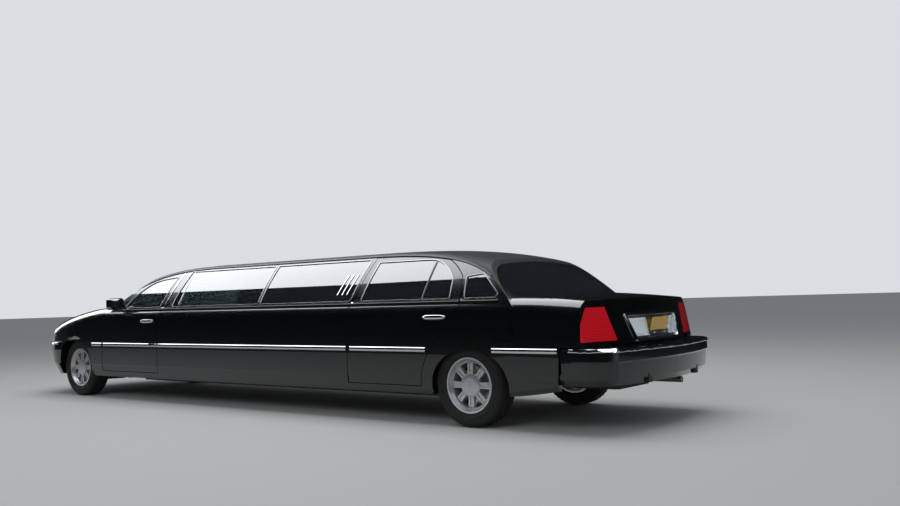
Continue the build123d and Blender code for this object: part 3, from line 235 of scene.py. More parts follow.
CAST_GRAIN_MM = 2.5
cast_iron, tree, shader = material("cast iron", "#5A5551", Metallic=0.6, Roughness=0.6)
grain = put(tree, "ShaderNodeTexNoise", {"Scale": 1000 / CAST_GRAIN_MM, "Detail": 4.0})
two_tone(tree, shader, grain.outputs["Fac"], "#4A4643", "#6A6460")
relief(tree, shader, grain.outputs["Fac"], 0.3, 0.0006)
finish_nodes(cast_iron, "engine", "knuckle_left", "knuckle_right")

HEAT_STAIN_MM = 140.0
exhaust_steel, tree, shader = material("aluminised exhaust steel", "#8B8175", Metallic=0.9, Roughness=0.45)
stain = put(tree, "ShaderNodeTexNoise", {"Scale": 1000 / HEAT_STAIN_MM, "Detail": 5.0})
two_tone(tree, shader, stain.outputs["Fac"], "#6B5D4E", "#9A9389")
finish_nodes(exhaust_steel, "exhaust_system")

# The radiator's fin ribs run upright, so its face is a fine upright ribbing, with painted shade in dark bands for
# the gaps between them.
FIN_MM = 9.0
BANDS_AT_1_MM = math.tau * 50
radiator_metal, tree, shader = material("radiator aluminium", "#9A9B9C", Metallic=0.9, Roughness=0.5)
place = put(tree, "ShaderNodeTexCoord")
fin_ribs_and_gap_shade = put(
    tree, "ShaderNodeTexWave", {"Vector": place.outputs["Object"], "Scale": BANDS_AT_1_MM / FIN_MM},
    bands_direction="Y",
)
# Painted shade: the dark bands stand for the shade in the gaps between the fin ribs.
two_tone(tree, shader, fin_ribs_and_gap_shade.outputs["Fac"], "#3B3C3D", "#A9ABAC")
relief(tree, shader, fin_ribs_and_gap_shade.outputs["Fac"], 0.6, 0.002)
finish_nodes(radiator_metal, "radiator")

# Body panels
# Pressed steel in black enamel under clear lacquer: nearly a black mirror,
# with a faint orange peel that softens long reflections.
PEEL_MM = 9.0
enamel, tree, shader = material(
    "black enamel", "#060708", Roughness=0.2, Specular_IOR_Level=0.3, Coat_Weight=1.0,
    Coat_Roughness=0.012, Coat_IOR=1.5,
)
peel = put(tree, "ShaderNodeTexNoise", {"Scale": 1000 / PEEL_MM, "Detail": 2.0})
relief(tree, shader, peel.outputs["Fac"], 0.03, 0.0005, "Coat Normal")
finish_nodes(
    enamel, "cowl_and_pillars", "door_mirror_left", "door_mirror_right", "front_bumper", "front_door_left",
    "front_door_right", "front_fender_left", "front_fender_right", "fuel_door", "hood", "quarter_panel_left",
    "quarter_panel_right", "rear_bumper", "rear_door_left", "rear_door_right", "rockers", "stretch_side_left",
    "stretch_side_right", "tail_panel", "trunk_lid",
)

# Roof: vinyl hide stretched and glued over the roof steel, in a fine grain
# with a soft sheen, and a dark drip rail pressed over its lower edge.
VINYL_GRAIN_MM = 3.0
vinyl, tree, shader = material("grained vinyl", "#18191A", Roughness=0.5, Specular_IOR_Level=0.28)
grain = put(tree, "ShaderNodeTexVoronoi", {"Scale": 1000 / VINYL_GRAIN_MM}, feature="SMOOTH_F1")
two_tone(tree, shader, grain.outputs["Distance"], "#121314", "#222426")
relief(tree, shader, grain.outputs["Distance"], 0.35, 0.0006)
finish_nodes(vinyl, "roof")


def tree_of(*names):
    """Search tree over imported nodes, for laying trim on their skin."""
    points, faces = [], []
    for name in names:
        mesh = nodes[name].data
        base = len(points)
        points += [v.co.copy() for v in mesh.vertices]
        faces += [[base + i for i in p.vertices] for p in mesh.polygons]
    return BVHTree.FromPolygons(points, faces)


def side_skin(tree, x, z, least_y=0.4):
    """Point and outward normal where a node's left side is, or None."""
    place, normal, face, distance = tree.ray_cast(Vector((x, 1.6, z)), Vector((0, -1, 0)))
    if place is None or place.y < least_y:
        return None
    return place, normal if normal.y > 0 else -normal


MOULDING_SINK = 0.001


def moulding(route, width, depth, closed=False):
    """Rounded bar along a route of skin points and outward normals."""
    bm = bmesh.new()
    half = width / 2
    section = (
        (-half, -MOULDING_SINK), (-half, depth * 0.45), (-half * 0.72, depth * 0.9), (0, depth),
        (half * 0.72, depth * 0.9), (half, depth * 0.45), (half, -MOULDING_SINK),
    )
    count = len(route)
    rings = []
    for i, (place, normal) in enumerate(route):
        before = route[i - 1][0] if i or closed else place
        after = route[(i + 1) % count][0] if i < count - 1 or closed else place
        along = (after - before).normalized()
        across = normal.cross(along).normalized()
        out = along.cross(across).normalized()
        rings.append([bm.verts.new(place + across * u + out * v) for u, v in section])
    pairs = zip(rings, rings[1:] + rings[:1]) if closed else zip(rings, rings[1:])
    for a, b in pairs:
        for j in range(len(section)):
            k = (j + 1) % len(section)
            bm.faces.new((a[j], a[k], b[k], b[j]))
    if not closed:
        bm.faces.new(rings[0])
        bm.faces.new(reversed(rings[-1]))
    return bm


def fitted(piece, body):
    """Sets the body a piece rides on."""
    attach(piece, body)
    return piece


def both(name, bm, finish, body_left, body_right=None, smooth_angle=35.0):
    """A left-hand piece and its mirror twin, each on its own body."""
    twin = bm.copy()
    for vert in twin.verts:
        vert.co.y = -vert.co.y
    fitted(mesh_piece(name + "_left", bm, finish, smooth_angle), body_left)
    fitted(mesh_piece(name + "_right", twin, finish, smooth_angle), body_right or body_left)


REAR_X = -2.8295
FRONT_X = 3.2085
satin_black, tree, shader = material("satin black rubber", "#0B0B0C", Roughness=0.35)
wear = put(tree, "ShaderNodeTexNoise", {"Scale": 30.0, "Detail": 3.0})
rough = put(tree, "ShaderNodeMapRange", {"Value": wear.outputs["Fac"], "To Min": 0.28, "To Max": 0.45})
tree.links.new(rough.outputs[0], shader.inputs["Roughness"])

roof_tree = tree_of("roof")
route = []
x = FRONT_X - 0.98
while x > REAR_X - 0.30:
    low, high = 1.05, 1.50
    for step in range(14):
        middle = (low + high) / 2
        if side_skin(roof_tree, x, middle):
            high = middle
        else:
            low = middle
    found = side_skin(roof_tree, x, high + 0.004)
    if found and high < 1.499:
        route.append(found)
    x -= 0.04
both("drip_rail", moulding(route, 0.018, 0.009), satin_black, "body")

# Bright side trim
# Stainless strip along the sides at hub height plus a hand, cut at each door,
# and a belt moulding under the windows; both are rolled and polished.
bright_trim, tree, shader = material("polished stainless trim", "#D6D8DA", Metallic=1.0, Roughness=0.09)
swirl = put(tree, "ShaderNodeTexNoise", {"Scale": 60.0, "Detail": 4.0})
rough = put(tree, "ShaderNodeMapRange", {"Value": swirl.outputs["Fac"], "To Min": 0.06, "To Max": 0.14})
tree.links.new(rough.outputs[0], shader.inputs["Roughness"])
satin_trim, tree, shader = material("satin stainless trim", "#8C8F92", Metallic=1.0, Roughness=0.24)
drawn = put(tree, "ShaderNodeTexNoise", {"Scale": 70.0, "Detail": 4.0})
two_tone(tree, shader, drawn.outputs["Fac"], "#7C7F82", "#9A9DA0")
SIDE_BODIES = (
    ("front_fender", "body", "body"),
    ("front_door", "front_door_left", "front_door_right"),
    ("stretch_side", "body", "body"),
    ("rear_door", "rear_door_left", "rear_door_right"),
    ("quarter_panel", "body", "body"),
)
skins = {part: tree_of(part + "_left") for part, body_left, body_right in SIDE_BODIES}
RUN_STEP = 0.0125


def runs_on(part, x_high, x_low, z, least_y):
    """Stretches of a panel's skin at one height, front to rear."""
    runs, run = [], []
    x = x_high
    while x >= x_low:
        found = side_skin(skins[part], x, z, least_y)
        if found:
            run.append(found)
        elif run:
            runs.append(run)
            run = []
        x -= RUN_STEP
    if run:
        runs.append(run)
    return [r for r in runs if len(r) > 3]


STRIP_Z = 0.636
STRIP_WIDTH = 0.038
STRIP_GAPS = ((FRONT_X - 0.42, REAR_X + 0.40), (REAR_X - 0.285, REAR_X - 0.888))
BELT_Z = 1.044
BELT_WIDTH = 0.018
# Steps of strip left off at each end, where a door swings past its neighbour
STRIP_CUTS = {"front_door": (2, 0), "stretch_side": (0, 2), "rear_door": (2, 0)}
for part, body_left, body_right in SIDE_BODIES:
    for x_high, x_low in STRIP_GAPS:
        for i, run in enumerate(runs_on(part, x_high, x_low, STRIP_Z, 0.9)):
            front_cut, rear_cut = STRIP_CUTS.get(part, (0, 0))
            strip = run[front_cut:len(run) - rear_cut]
            both(
                f"side_strip_{part}_{i}", moulding(strip, STRIP_WIDTH, 0.010), bright_trim,
                body_left, body_right,
            )
    if part != "front_fender":
        for i, run in enumerate(runs_on(part, FRONT_X - 1.0, REAR_X - 0.33, BELT_Z, 0.86)):
            both(
                f"belt_moulding_{part}_{i}", moulding(run, BELT_WIDTH, 0.007), bright_trim,
                body_left, body_right,
            )

# Glass
# Float glass: dark privacy film on the sides and rear, a light tint in front.
privacy_glass, tree, shader = material(
    "privacy glass", "#23272A", Roughness=0.0, IOR=1.9, Transmission_Weight=0.82, Coat_Weight=0.5, Coat_IOR=1.6,
)
clear_glass, tree, shader = material(
    "tinted windshield glass", "#A9BDB5", Roughness=0.0, IOR=1.52, Transmission_Weight=1.0,
)
finish_nodes(
    privacy_glass, "side_windows", "front_door_glass_left", "front_door_glass_right", "rear_door_glass_left",
    "rear_door_glass_right", "rear_window",
)
finish_nodes(clear_glass, "windshield")

# Window surrounds: bright channel pressed round each side window's opening
FRAME_WIDTH = 0.009
OUTLINE_STEP = 0.03


def window_edge(node, x_low, x_high):
    """Side-view outline of the left-hand panes between two places."""
    points = [v.co for v in nodes[node].data.vertices]
    flat = [Vector((p.x, p.z)) for p in points if p.y > 0 and x_low < p.x < x_high]
    return [flat[i] for i in convex_hull_2d(flat)]


def even_loop(corners, step):
    """Points at even steps round a closed outline, corners softened."""
    for turn in range(2):
        cut = []
        for a, b in zip(corners, corners[1:] + corners[:1]):
            reach = min(0.25, 0.012 / max((b - a).length, 1e-6))
            cut += [a.lerp(b, reach), b.lerp(a, reach)]
        corners = cut
    points = []
    for a, b in zip(corners, corners[1:] + corners[:1]):
        pieces = max(1, int((b - a).length / step))
        points += [a.lerp(b, i / pieces) for i in range(pieces)]
    return points


def surround(name, edge, part, body_left, body_right=None):
    """Bright frame round one window, lying on the panel just outside it."""
    centre = sum(edge, Vector((0, 0))) / len(edge)
    wide = [p + (p - centre).normalized() * FRAME_WIDTH * 0.62 for p in edge]
    route = []
    for point in even_loop(wide, OUTLINE_STEP):
        found = side_skin(skins[part], point.x, point.y)
        if found:
            route.append(found)
    both(name, moulding(route, FRAME_WIDTH, 0.005, closed=True), satin_trim, body_left, body_right)


MID_PILLAR_X = FRONT_X - 3.415
surround("front_window_frame", window_edge("front_door_glass_left", -9, 9), "front_door", "front_door_left",
         "front_door_right")
surround("rear_window_frame", window_edge("rear_door_glass_left", -9, 9), "rear_door", "rear_door_left",
         "rear_door_right")
surround("first_pane_frame", window_edge("side_windows", MID_PILLAR_X, 9), "stretch_side", "body")
surround("second_pane_frame", window_edge("side_windows", REAR_X + 0.9, MID_PILLAR_X), "stretch_side", "body")
surround("opera_window_frame", window_edge("side_windows", -9, REAR_X + 0.9), "quarter_panel", "body")


def leaning_bar(name, low_point, high_point, tree, width, depth):
    """Bright bar laid up the side between two side-view points."""
    route = []
    for i in range(13):
        share = i / 12
        found = side_skin(tree, low_point[0] + (high_point[0] - low_point[0]) * share,
                          low_point[1] + (high_point[1] - low_point[1]) * share)
        if found:
            route.append(found)
    both(name, moulding(route, width, depth), bright_trim, "body")


# Division bar: an upright rubber channel between the rear door's main pane and
# the small pane behind it.
DIVISION_SHARE = 0.29
DIVISION_WIDTH = 0.022
door_edge = window_edge("rear_door_glass_left", -9, 9)
door_edge_low = min(p.x for p in door_edge)
division_x = door_edge_low + DIVISION_SHARE * (max(p.x for p in door_edge) - door_edge_low)
glass_tree = tree_of("rear_door_glass_left")
division_low = min(p.y for p in door_edge)
division_high = max(p.y for p in door_edge)
route = []
for i in range(25):
    found = side_skin(glass_tree, division_x, division_low + (division_high - division_low) * i / 24)
    if found:
        route.append(found)
both(
    "division_bar", moulding(route, DIVISION_WIDTH, 0.005), satin_black,
    "rear_door_left", "rear_door_right",
)

# Pillar bands ahead of and behind the front pillar, and three polished bars near the rear of the second pane that
# stand in as painted reflection streaks, all bright against the dark glass.
pane_tree = tree_of("side_windows", "stretch_side_left")
leaning_bar("front_pillar_band", (REAR_X + 4.222, 1.075), (REAR_X + 4.186, 1.43), pane_tree, 0.016, 0.005)
leaning_bar("front_pillar_band_rear", (REAR_X + 3.978, 1.080), (REAR_X + 4.013, 1.43), pane_tree, 0.016, 0.004)
REFLECTION_STREAK_PITCH = 0.062
# Painted reflection: three polished bars laid on the pane where only reflected light shows.
for i in range(3):
    foot = (REAR_X + 1.414 + REFLECTION_STREAK_PITCH * i, 1.12)
    head = (REAR_X + 1.370 + REFLECTION_STREAK_PITCH * i, 1.303)
    leaning_bar(f"light_bar_{i}", foot, head, pane_tree, 0.02, 0.004)


# Lamps
# Red acrylic lenses wrap the tail corners, ribbed inside, with painted highlight and shade in bright and dark
# bands along each rib; the head lamps are clear polycarbonate over bright reflectors with an amber corner marker.
RIB_MM = 12.0
red_lens, tree, shader = material(
    "red acrylic lens", "#C4101C", Roughness=0.06, IOR=1.49, Coat_Weight=1.0, Coat_Roughness=0.01,
    Emission_Strength=0.12,
)
shader.inputs["Emission Color"].default_value = srgb("#D4121E")
place = put(tree, "ShaderNodeTexCoord")
ribs_with_painted_highlights = put(
    tree, "ShaderNodeTexWave", {"Vector": place.outputs["Object"], "Scale": BANDS_AT_1_MM / RIB_MM},
    bands_direction="Z",
)
# Painted highlight and shade: bright and dark red bands along each rib, as light would catch them.
two_tone(tree, shader, ribs_with_painted_highlights.outputs["Fac"], "#A80E1A", "#E0202C")
relief(tree, shader, ribs_with_painted_highlights.outputs["Fac"], 0.25, 0.001)
finish_nodes(red_lens, "tail_lamps")

FLUTE_MM = 16.0
clear_lens, tree, shader = material(
    "clear polycarbonate lens", "#DDE3E6", Roughness=0.03, IOR=1.58, Transmission_Weight=0.55, Coat_Weight=1.0,
)
place = put(tree, "ShaderNodeTexCoord")
flutes = put(
    tree, "ShaderNodeTexWave", {"Vector": place.outputs["Object"], "Scale": BANDS_AT_1_MM / FLUTE_MM},
    bands_direction="Y",
)
relief(tree, shader, flutes.outputs["Fac"], 0.15, 0.001)
finish_nodes(clear_lens, "headlamps")
amber_lens, tree, shader = material("amber acrylic lens", "#D9780F", Roughness=0.08, IOR=1.49, Coat_Weight=1.0)
grain = put(tree, "ShaderNodeTexNoise", {"Scale": 90.0, "Detail": 2.0})
two_tone(tree, shader, grain.outputs["Fac"], "#C96A08", "#E88C1E")

lamp_tree = tree_of("headlamps")
route = [side_skin(lamp_tree, FRONT_X + 0.56 + 0.012 * i, 0.765) for i in range(9)]
route = [found for found in route if found]
if len(route) > 3:
    both("side_marker", moulding(route, 0.045, 0.006), amber_lens, "body")


def end_skin(tree, y, z, way):
    """Point and outward normal on the nose (way 1) or tail (way -1)."""
    place, normal, face, distance = tree.ray_cast(Vector((way * 6.0, y, z)), Vector((-way, 0, 0)))
    if place is None or place.x * way < 3.0:
        return None
    return place, normal if normal.x * way > 0 else -normal


def end_route(tree, corners, way):
    """Skin points under a front- or rear-view outline."""
    points = even_loop([Vector(c) for c in corners], OUTLINE_STEP)
    found = [end_skin(tree, p.x, p.y, way) for p in points]
    return [f for f in found if f]


chrome, tree, shader = material("chrome plate", "#D4D6D8", Metallic=1.0, Roughness=0.06)
haze = put(tree, "ShaderNodeTexNoise", {"Scale": 45.0, "Detail": 3.0})
rough = put(tree, "ShaderNodeMapRange", {"Value": haze.outputs["Fac"], "To Min": 0.04, "To Max": 0.11})
tree.links.new(rough.outputs[0], shader.inputs["Roughness"])

# Grille and bumpers
# Upright chrome bars in a chrome shell, and a bright strip let into the top
# edge of each bumper, level with the side strips.
grille_dark, tree, shader = material("grille black", "#0C0D0E", Roughness=0.5)
grain = put(tree, "ShaderNodeTexNoise", {"Scale": 200.0})
relief(tree, shader, grain.outputs["Fac"], 0.2, 0.0005)
finish_nodes(grille_dark, "grille")
grille_tree = tree_of("grille")
GRILLE_HALF = 0.375
GRILLE_LOW = 0.69
GRILLE_HIGH = 0.83
GRILLE_OUTLINE = (
    (-GRILLE_HALF, GRILLE_LOW), (GRILLE_HALF, GRILLE_LOW), (GRILLE_HALF, GRILLE_HIGH), (-GRILLE_HALF, GRILLE_HIGH),
)
shell = end_route(grille_tree, GRILLE_OUTLINE, 1)
fitted(mesh_piece("grille_shell", moulding(shell, 0.03, 0.014, closed=True), chrome), "body")
bars = bmesh.new()
BAR_COUNT = 23
BAR_LOW = GRILLE_LOW + 0.012
BAR_TALL = GRILLE_HIGH - GRILLE_LOW - 0.024
for i in range(BAR_COUNT):
    y = -GRILLE_HALF + (i + 0.5) * 2 * GRILLE_HALF / BAR_COUNT
    route = [end_skin(grille_tree, y, BAR_LOW + BAR_TALL * j / 6, 1) for j in range(7)]
    route = [found for found in route if found]
    if len(route) > 3:
        bar = moulding(route, 0.012, 0.012)
        made = bpy.data.meshes.new("bar")
        bar.to_mesh(made)
        bar.free()
        bars.from_mesh(made)
        bpy.data.meshes.remove(made)
fitted(mesh_piece("grille_bars", bars, chrome), "body")


def round_route(tree, centre_x, z, way, start_deg, end_deg, count):
    """Skin points round an end of the car, swept from its left side to its right."""
    route = []
    for i in range(count):
        turn = math.radians(start_deg + (end_deg - start_deg) * i / (count - 1))
        out = Vector((way * math.sin(turn), math.cos(turn), 0))
        place, normal, face, distance = tree.ray_cast(Vector((centre_x, 0, z)) + out * 2.2, -out)
        if place and (place.x - centre_x) * way > -0.05:
            route.append((place, normal if normal.dot(out) > 0 else -normal))
    return route


for name, centre_x, way, high in (
    ("rear_bumper", REAR_X - 0.95, -1, 0.640),
    ("front_bumper", FRONT_X + 0.36, 1, 0.640),
):
    route = round_route(tree_of(name), centre_x, high, way, 2, 178, 89)
    fitted(mesh_piece(name + "_strip", moulding(route, 0.030, 0.008), bright_trim), "body")

# Number plate: chrome frame on the trunk lid, clear reversing lamps at its
# sides, and a blank yellow enamelled plate held by two screws.
lid_tree = tree_of("trunk_lid")
PLATE_FRAME = ((0.455, 0.893), (-0.455, 0.893), (-0.374, 0.690), (0.374, 0.690))
route = end_route(lid_tree, PLATE_FRAME, -1)
fitted(mesh_piece("plate_frame", moulding(route, 0.026, 0.014, closed=True), chrome), "trunk_lid")


def tail_panel_patch(tree, corners, rise, rows=8, columns=16):
    """Thin plate that follows the tail between four rear-view corners."""
    bm = bmesh.new()
    top_left, top_right, low_right, low_left = [Vector(c) for c in corners]
    grid = []
    for r in range(rows + 1):
        line = []
        for c in range(columns + 1):
            high = top_left.lerp(top_right, c / columns)
            down = low_left.lerp(low_right, c / columns)
            point = high.lerp(down, r / rows)
            found = end_skin(tree, point.x, point.y, -1)
            line.append(found[0] + found[1] * rise if found else None)
        grid.append(line)
    verts = [[bm.verts.new(p) if p else None for p in line] for line in grid]
    for r in range(rows):
        for c in range(columns):
            quad = (verts[r][c], verts[r][c + 1], verts[r + 1][c + 1], verts[r + 1][c])
            if all(quad):
                bm.faces.new(quad)
    bmesh.ops.recalc_face_normals(bm, faces=bm.faces)
    bmesh.ops.solidify(bm, geom=bm.faces[:], thickness=0.003)
    return bm


brushed_back, tree, shader = material("satin chrome backing", "#9DA0A3", Metallic=1.0, Roughness=0.3)
brush = put(tree, "ShaderNodeTexNoise", {"Scale": 80.0, "Detail": 4.0})
two_tone(tree, shader, brush.outputs["Fac"], "#8F9295", "#AEB1B4")
patch = tail_panel_patch(lid_tree, ((0.445, 0.884), (-0.445, 0.884), (-0.368, 0.699), (0.368, 0.699)), 0.003)
fitted(mesh_piece("plate_backing", patch, brushed_back), "trunk_lid")
for side in (-1, 1):
    near, far_high, far_low = side * 0.185, side * 0.425, side * 0.366
    corners = ((near, 0.862), (far_high, 0.862), (far_low, 0.722), (near, 0.722))
    patch = tail_panel_patch(lid_tree, corners, 0.009, 6, 8)
    lens = mesh_piece("reversing_lamp_" + ("left" if side > 0 else "right"), patch, clear_lens)
    fitted(lens, "trunk_lid")
PLATE_HALF = 0.152
PLATE_LOW = 0.716
PLATE_HIGH = 0.866
yellow_enamel, tree, shader = material("yellow enamel plate", "#D9A62A", Roughness=0.35, Coat_Weight=0.5)
wear = put(tree, "ShaderNodeTexNoise", {"Scale": 25.0, "Detail": 4.0})
two_tone(tree, shader, wear.outputs["Fac"], "#CF9A20", "#E0B23C")
middle = end_skin(lid_tree, 0.0, (PLATE_LOW + PLATE_HIGH) / 2, -1)
bm = bmesh.new()
tilt = math.atan2(middle[1].z, -middle[1].x)
bmesh.ops.create_grid(bm, x_segments=8, y_segments=4, size=0.5)
for vert in bm.verts:
    u, v = vert.co.x * 2 * PLATE_HALF, vert.co.y * (PLATE_HIGH - PLATE_LOW)
    vert.co = middle[0] + Vector((-0.017 - v * math.sin(tilt), u, v * math.cos(tilt)))
bmesh.ops.solidify(bm, geom=bm.faces[:], thickness=0.002)
fitted(mesh_piece("number_plate", bm, yellow_enamel), "trunk_lid")
bm = bmesh.new()
for side in (-1, 1):
    for level in (-1, 1):
        spot = middle[0] + Vector((-0.021, side * PLATE_HALF * 0.62, level * 0.052))
        bmesh.ops.create_uvsphere(bm, u_segments=14, v_segments=8, radius=0.006, matrix=Matrix.Translation(spot))
fitted(mesh_piece("plate_screws", bm, chrome), "trunk_lid")

# Door handles
# Cast and chromed pull handles, bowed out over a finger recess, shown as a thin dark sheet of painted shade on the
# door skin.


# Section of the dark sheet that paints the handle recess's shade, lying just off the skin.
RECESS_SHADE_SECTION = ((1, 0.0006), (0.4, 0.002), (-0.4, 0.002), (-1, 0.0006))


def pull_handle(part, x, z, length):
    """Bowed grip on two feet, over a thin dark sheet on the door skin that paints the recess's shade."""
    grip, recess_shade = bmesh.new(), bmesh.new()
    rings, recess_shade_rims = [], []
    for i in range(17):
        u = -1 + i / 8
        found = side_skin(skins[part], x + u * length / 2, z)
        if not found:
            continue
        place, normal = found
        up = Vector((0, 0, 1)) - normal * normal.z
        up.normalize()
        tall = 0.017 * max(0.25, (1 - u ** 6)) ** 0.5
        away = 0.006 + 0.018 * (1 - u ** 4)
        ring = []
        for j in range(12):
            turn = math.tau * j / 12
            bowed = normal * (away + 0.006 * math.sin(turn))
            ring.append(grip.verts.new(place + bowed + up * tall * math.cos(turn)))
        rings.append(ring)
        lens = 0.026 * max(0.0, 1 - u ** 4) ** 0.5 + 0.002
        recess_shade_rims.append([recess_shade.verts.new(place + up * s * lens + normal * r) for s, r in RECESS_SHADE_SECTION])
    for a, b in zip(rings, rings[1:]):
        for j in range(12):
            grip.faces.new((a[j], a[(j + 1) % 12], b[(j + 1) % 12], b[j]))
    grip.faces.new(rings[0])
    grip.faces.new(reversed(rings[-1]))
    for a, b in zip(recess_shade_rims, recess_shade_rims[1:]):
        for j in range(3):
            recess_shade.faces.new((a[j], a[j + 1], b[j + 1], b[j]))
    return grip, recess_shade


for part, x, z in (("front_door", REAR_X + 4.47, 0.905), ("rear_door", REAR_X + 0.30, 0.908)):
    grip, recess_shade = pull_handle(part, x, z, 0.235)
    both(part + "_handle", grip, chrome, part + "_left", part + "_right", 50)
    # Painted shade: a dark sheet where the recess under each handle would be shaded.
    both(part + "_handle_recess_shade", recess_shade, satin_black, part + "_left", part + "_right")

# Mirror glass: silvered plate in the rear face of each door mirror
mirror_silver, tree, shader = material("silvered mirror glass", "#C9CED2", Metallic=1.0, Roughness=0.02)
ripple = put(tree, "ShaderNodeTexNoise", {"Scale": 12.0})
relief(tree, shader, ripple.outputs["Fac"], 0.02, 0.0005)
mirror_low, mirror_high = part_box("door_mirror_left")
bm = bmesh.new()
bmesh.ops.create_circle(bm, cap_ends=False, segments=40, radius=1.0)
ring = bm.verts[:]
mirror_middle = (Vector(mirror_low) + Vector(mirror_high)) / 2
centre = Vector((mirror_low[0], mirror_middle.y + 0.045, mirror_middle.z + 0.015))
for vert in ring:
    a, b = vert.co.x, vert.co.y
    reach = (abs(a) ** 4 + abs(b) ** 4) ** -0.25
    vert.co = centre + Vector((-0.0015, a * reach * 0.058, b * reach * 0.045))
hub = bm.verts.new(centre + Vector((-0.004, 0, 0)))
for edge in list(bm.edges):
    bm.faces.new((*edge.verts, hub))
both("mirror_glass", bm, mirror_silver, "front_door_left", "front_door_right")

# Wipers: two pressed arms with rubber blades, parked on the windshield
screen_tree = tree_of("windshield")


def screen_skin(x, y):
    """Point and normal on the windshield, seen from above."""
    place, normal, face, distance = screen_tree.ray_cast(Vector((x, y, 2.5)), Vector((0, 0, -1)))
    if place is None:
        return None
    return place, normal if normal.z > 0 else -normal


for i, root_y in enumerate((0.52, -0.18)):
    route = []
    for j in range(17):
        share = j / 16
        found = screen_skin(FRONT_X - 0.705 - 0.10 * share, root_y + 0.02 - 0.60 * share)
        if found:
            route.append(found)
    if len(route) > 3:
        fitted(mesh_piece(f"wiper_{i}", moulding(route, 0.018, 0.016), satin_black), "body")

# Wheels and tyres
# Silver-lacquered cast alloy wheels; radial tyres with a grooved, siped tread
# and ringed sidewalls, moulded in black rubber.
CAST_MOTTLE_MM = 25.0
alloy, tree, shader = material(
    "lacquered cast alloy", "#B9BCBF", Metallic=0.7, Roughness=0.32, Coat_Weight=0.6, Coat_Roughness=0.08,
)
mottle = put(tree, "ShaderNodeTexNoise", {"Scale": 1000 / CAST_MOTTLE_MM, "Detail": 5.0})
two_tone(tree, shader, mottle.outputs["Fac"], "#ADB0B3", "#C6C9CB")
rough = put(tree, "ShaderNodeMapRange", {"Value": mottle.outputs["Fac"], "To Min": 0.26, "To Max": 0.4})
tree.links.new(rough.outputs[0], shader.inputs["Roughness"])
finish_nodes(
    alloy, "wheel_front_left", "wheel_front_right", "wheel_rear_left", "wheel_rear_right", smooth_angle=28.0,
)
SCUFF_MM = 30.0
rubber, tree, shader = material("tyre rubber", "#1C1C1D", Roughness=0.75, Specular_IOR_Level=0.3)
scuff = put(tree, "ShaderNodeTexNoise", {"Scale": 1000 / SCUFF_MM, "Detail": 6.0})
two_tone(tree, shader, scuff.outputs["Fac"], "#141415", "#2A2A2A")
relief(tree, shader, scuff.outputs["Fac"], 0.15, 0.0006)
TYRE_R = 0.345
RIM_R = 0.229
TYRE_HALF = 0.1125
TREAD_STEPS = 144
tyre_profile = [
    (RIM_R, TYRE_HALF - 0.024), (RIM_R + 0.010, TYRE_HALF - 0.014),
    (RIM_R + 0.030, TYRE_HALF - 0.003), (RIM_R + 0.045, TYRE_HALF - 0.001),
    (RIM_R + 0.047, TYRE_HALF - 0.0035), (RIM_R + 0.050, TYRE_HALF - 0.0035),
    (RIM_R + 0.052, TYRE_HALF - 0.001), (RIM_R + 0.074, TYRE_HALF - 0.003),
    (TYRE_R - 0.028, TYRE_HALF - 0.007), (TYRE_R - 0.016, TYRE_HALF - 0.015),
    (TYRE_R - 0.007, TYRE_HALF - 0.023), (TYRE_R - 0.002, TYRE_HALF - 0.032),
    (TYRE_R - 0.001, 0.062), (TYRE_R - 0.0085, 0.060), (TYRE_R - 0.0085, 0.053), (TYRE_R, 0.051),
    (TYRE_R, 0.026), (TYRE_R - 0.0085, 0.024), (TYRE_R - 0.0085, 0.015), (TYRE_R, 0.013),
]
tyre_profile += [(r, -y) for r, y in reversed(tyre_profile)]
for corner in ("front_left", "front_right", "rear_left", "rear_right"):
    tyre_low, tyre_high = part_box("tyre_" + corner)
    hub = Vector([(a + b) / 2 for a, b in zip(tyre_low, tyre_high)])
    bm = bmesh.new()
    rings = []
    for i in range(TREAD_STEPS):
        turn = math.tau * i / TREAD_STEPS
        ring = []
        for radius, y in tyre_profile:
            shoulder = abs(y) > 0.062 and radius > TYRE_R - 0.012
            cut = 0.006 if shoulder and i % 3 == 0 else 0.0
            r = radius - cut
            ring.append(bm.verts.new(hub + Vector((r * math.cos(turn), y, r * math.sin(turn)))))
        rings.append(ring)
    for a, b in zip(rings, rings[1:] + rings[:1]):
        for j in range(len(tyre_profile)):
            k = (j + 1) % len(tyre_profile)
            bm.faces.new((a[j], a[k], b[k], b[j]))
    tyre = fitted(mesh_piece("radial_tyre_" + corner, bm, rubber, 30), "wheel_" + corner)
    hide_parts("tyre_" + corner)

# Cabin
# Leather over foam on the seats, sewn in upright channels, and grained
# moulded plastic on the dashboard, partition and steering wheel.
LEATHER_GRAIN_MM = 2.0
leather, tree, shader = material("black leather", "#1B1918", Roughness=0.5, Specular_IOR_Level=0.35)
grain = put(tree, "ShaderNodeTexVoronoi", {"Scale": 1000 / LEATHER_GRAIN_MM})
two_tone(tree, shader, grain.outputs["Distance"], "#141312", "#262322")
relief(tree, shader, grain.outputs["Distance"], 0.25, 0.0005)
PLASTIC_GRAIN_MM = 1.5
plastic, tree, shader = material("grained black plastic", "#19191A", Roughness=0.55)
grain = put(tree, "ShaderNodeTexVoronoi", {"Scale": 1000 / PLASTIC_GRAIN_MM})
two_tone(tree, shader, grain.outputs["Distance"], "#151516", "#202021")
relief(tree, shader, grain.outputs["Distance"], 0.3, 0.0004)
finish_nodes(plastic, "dashboard", "partition", "steering_wheel")


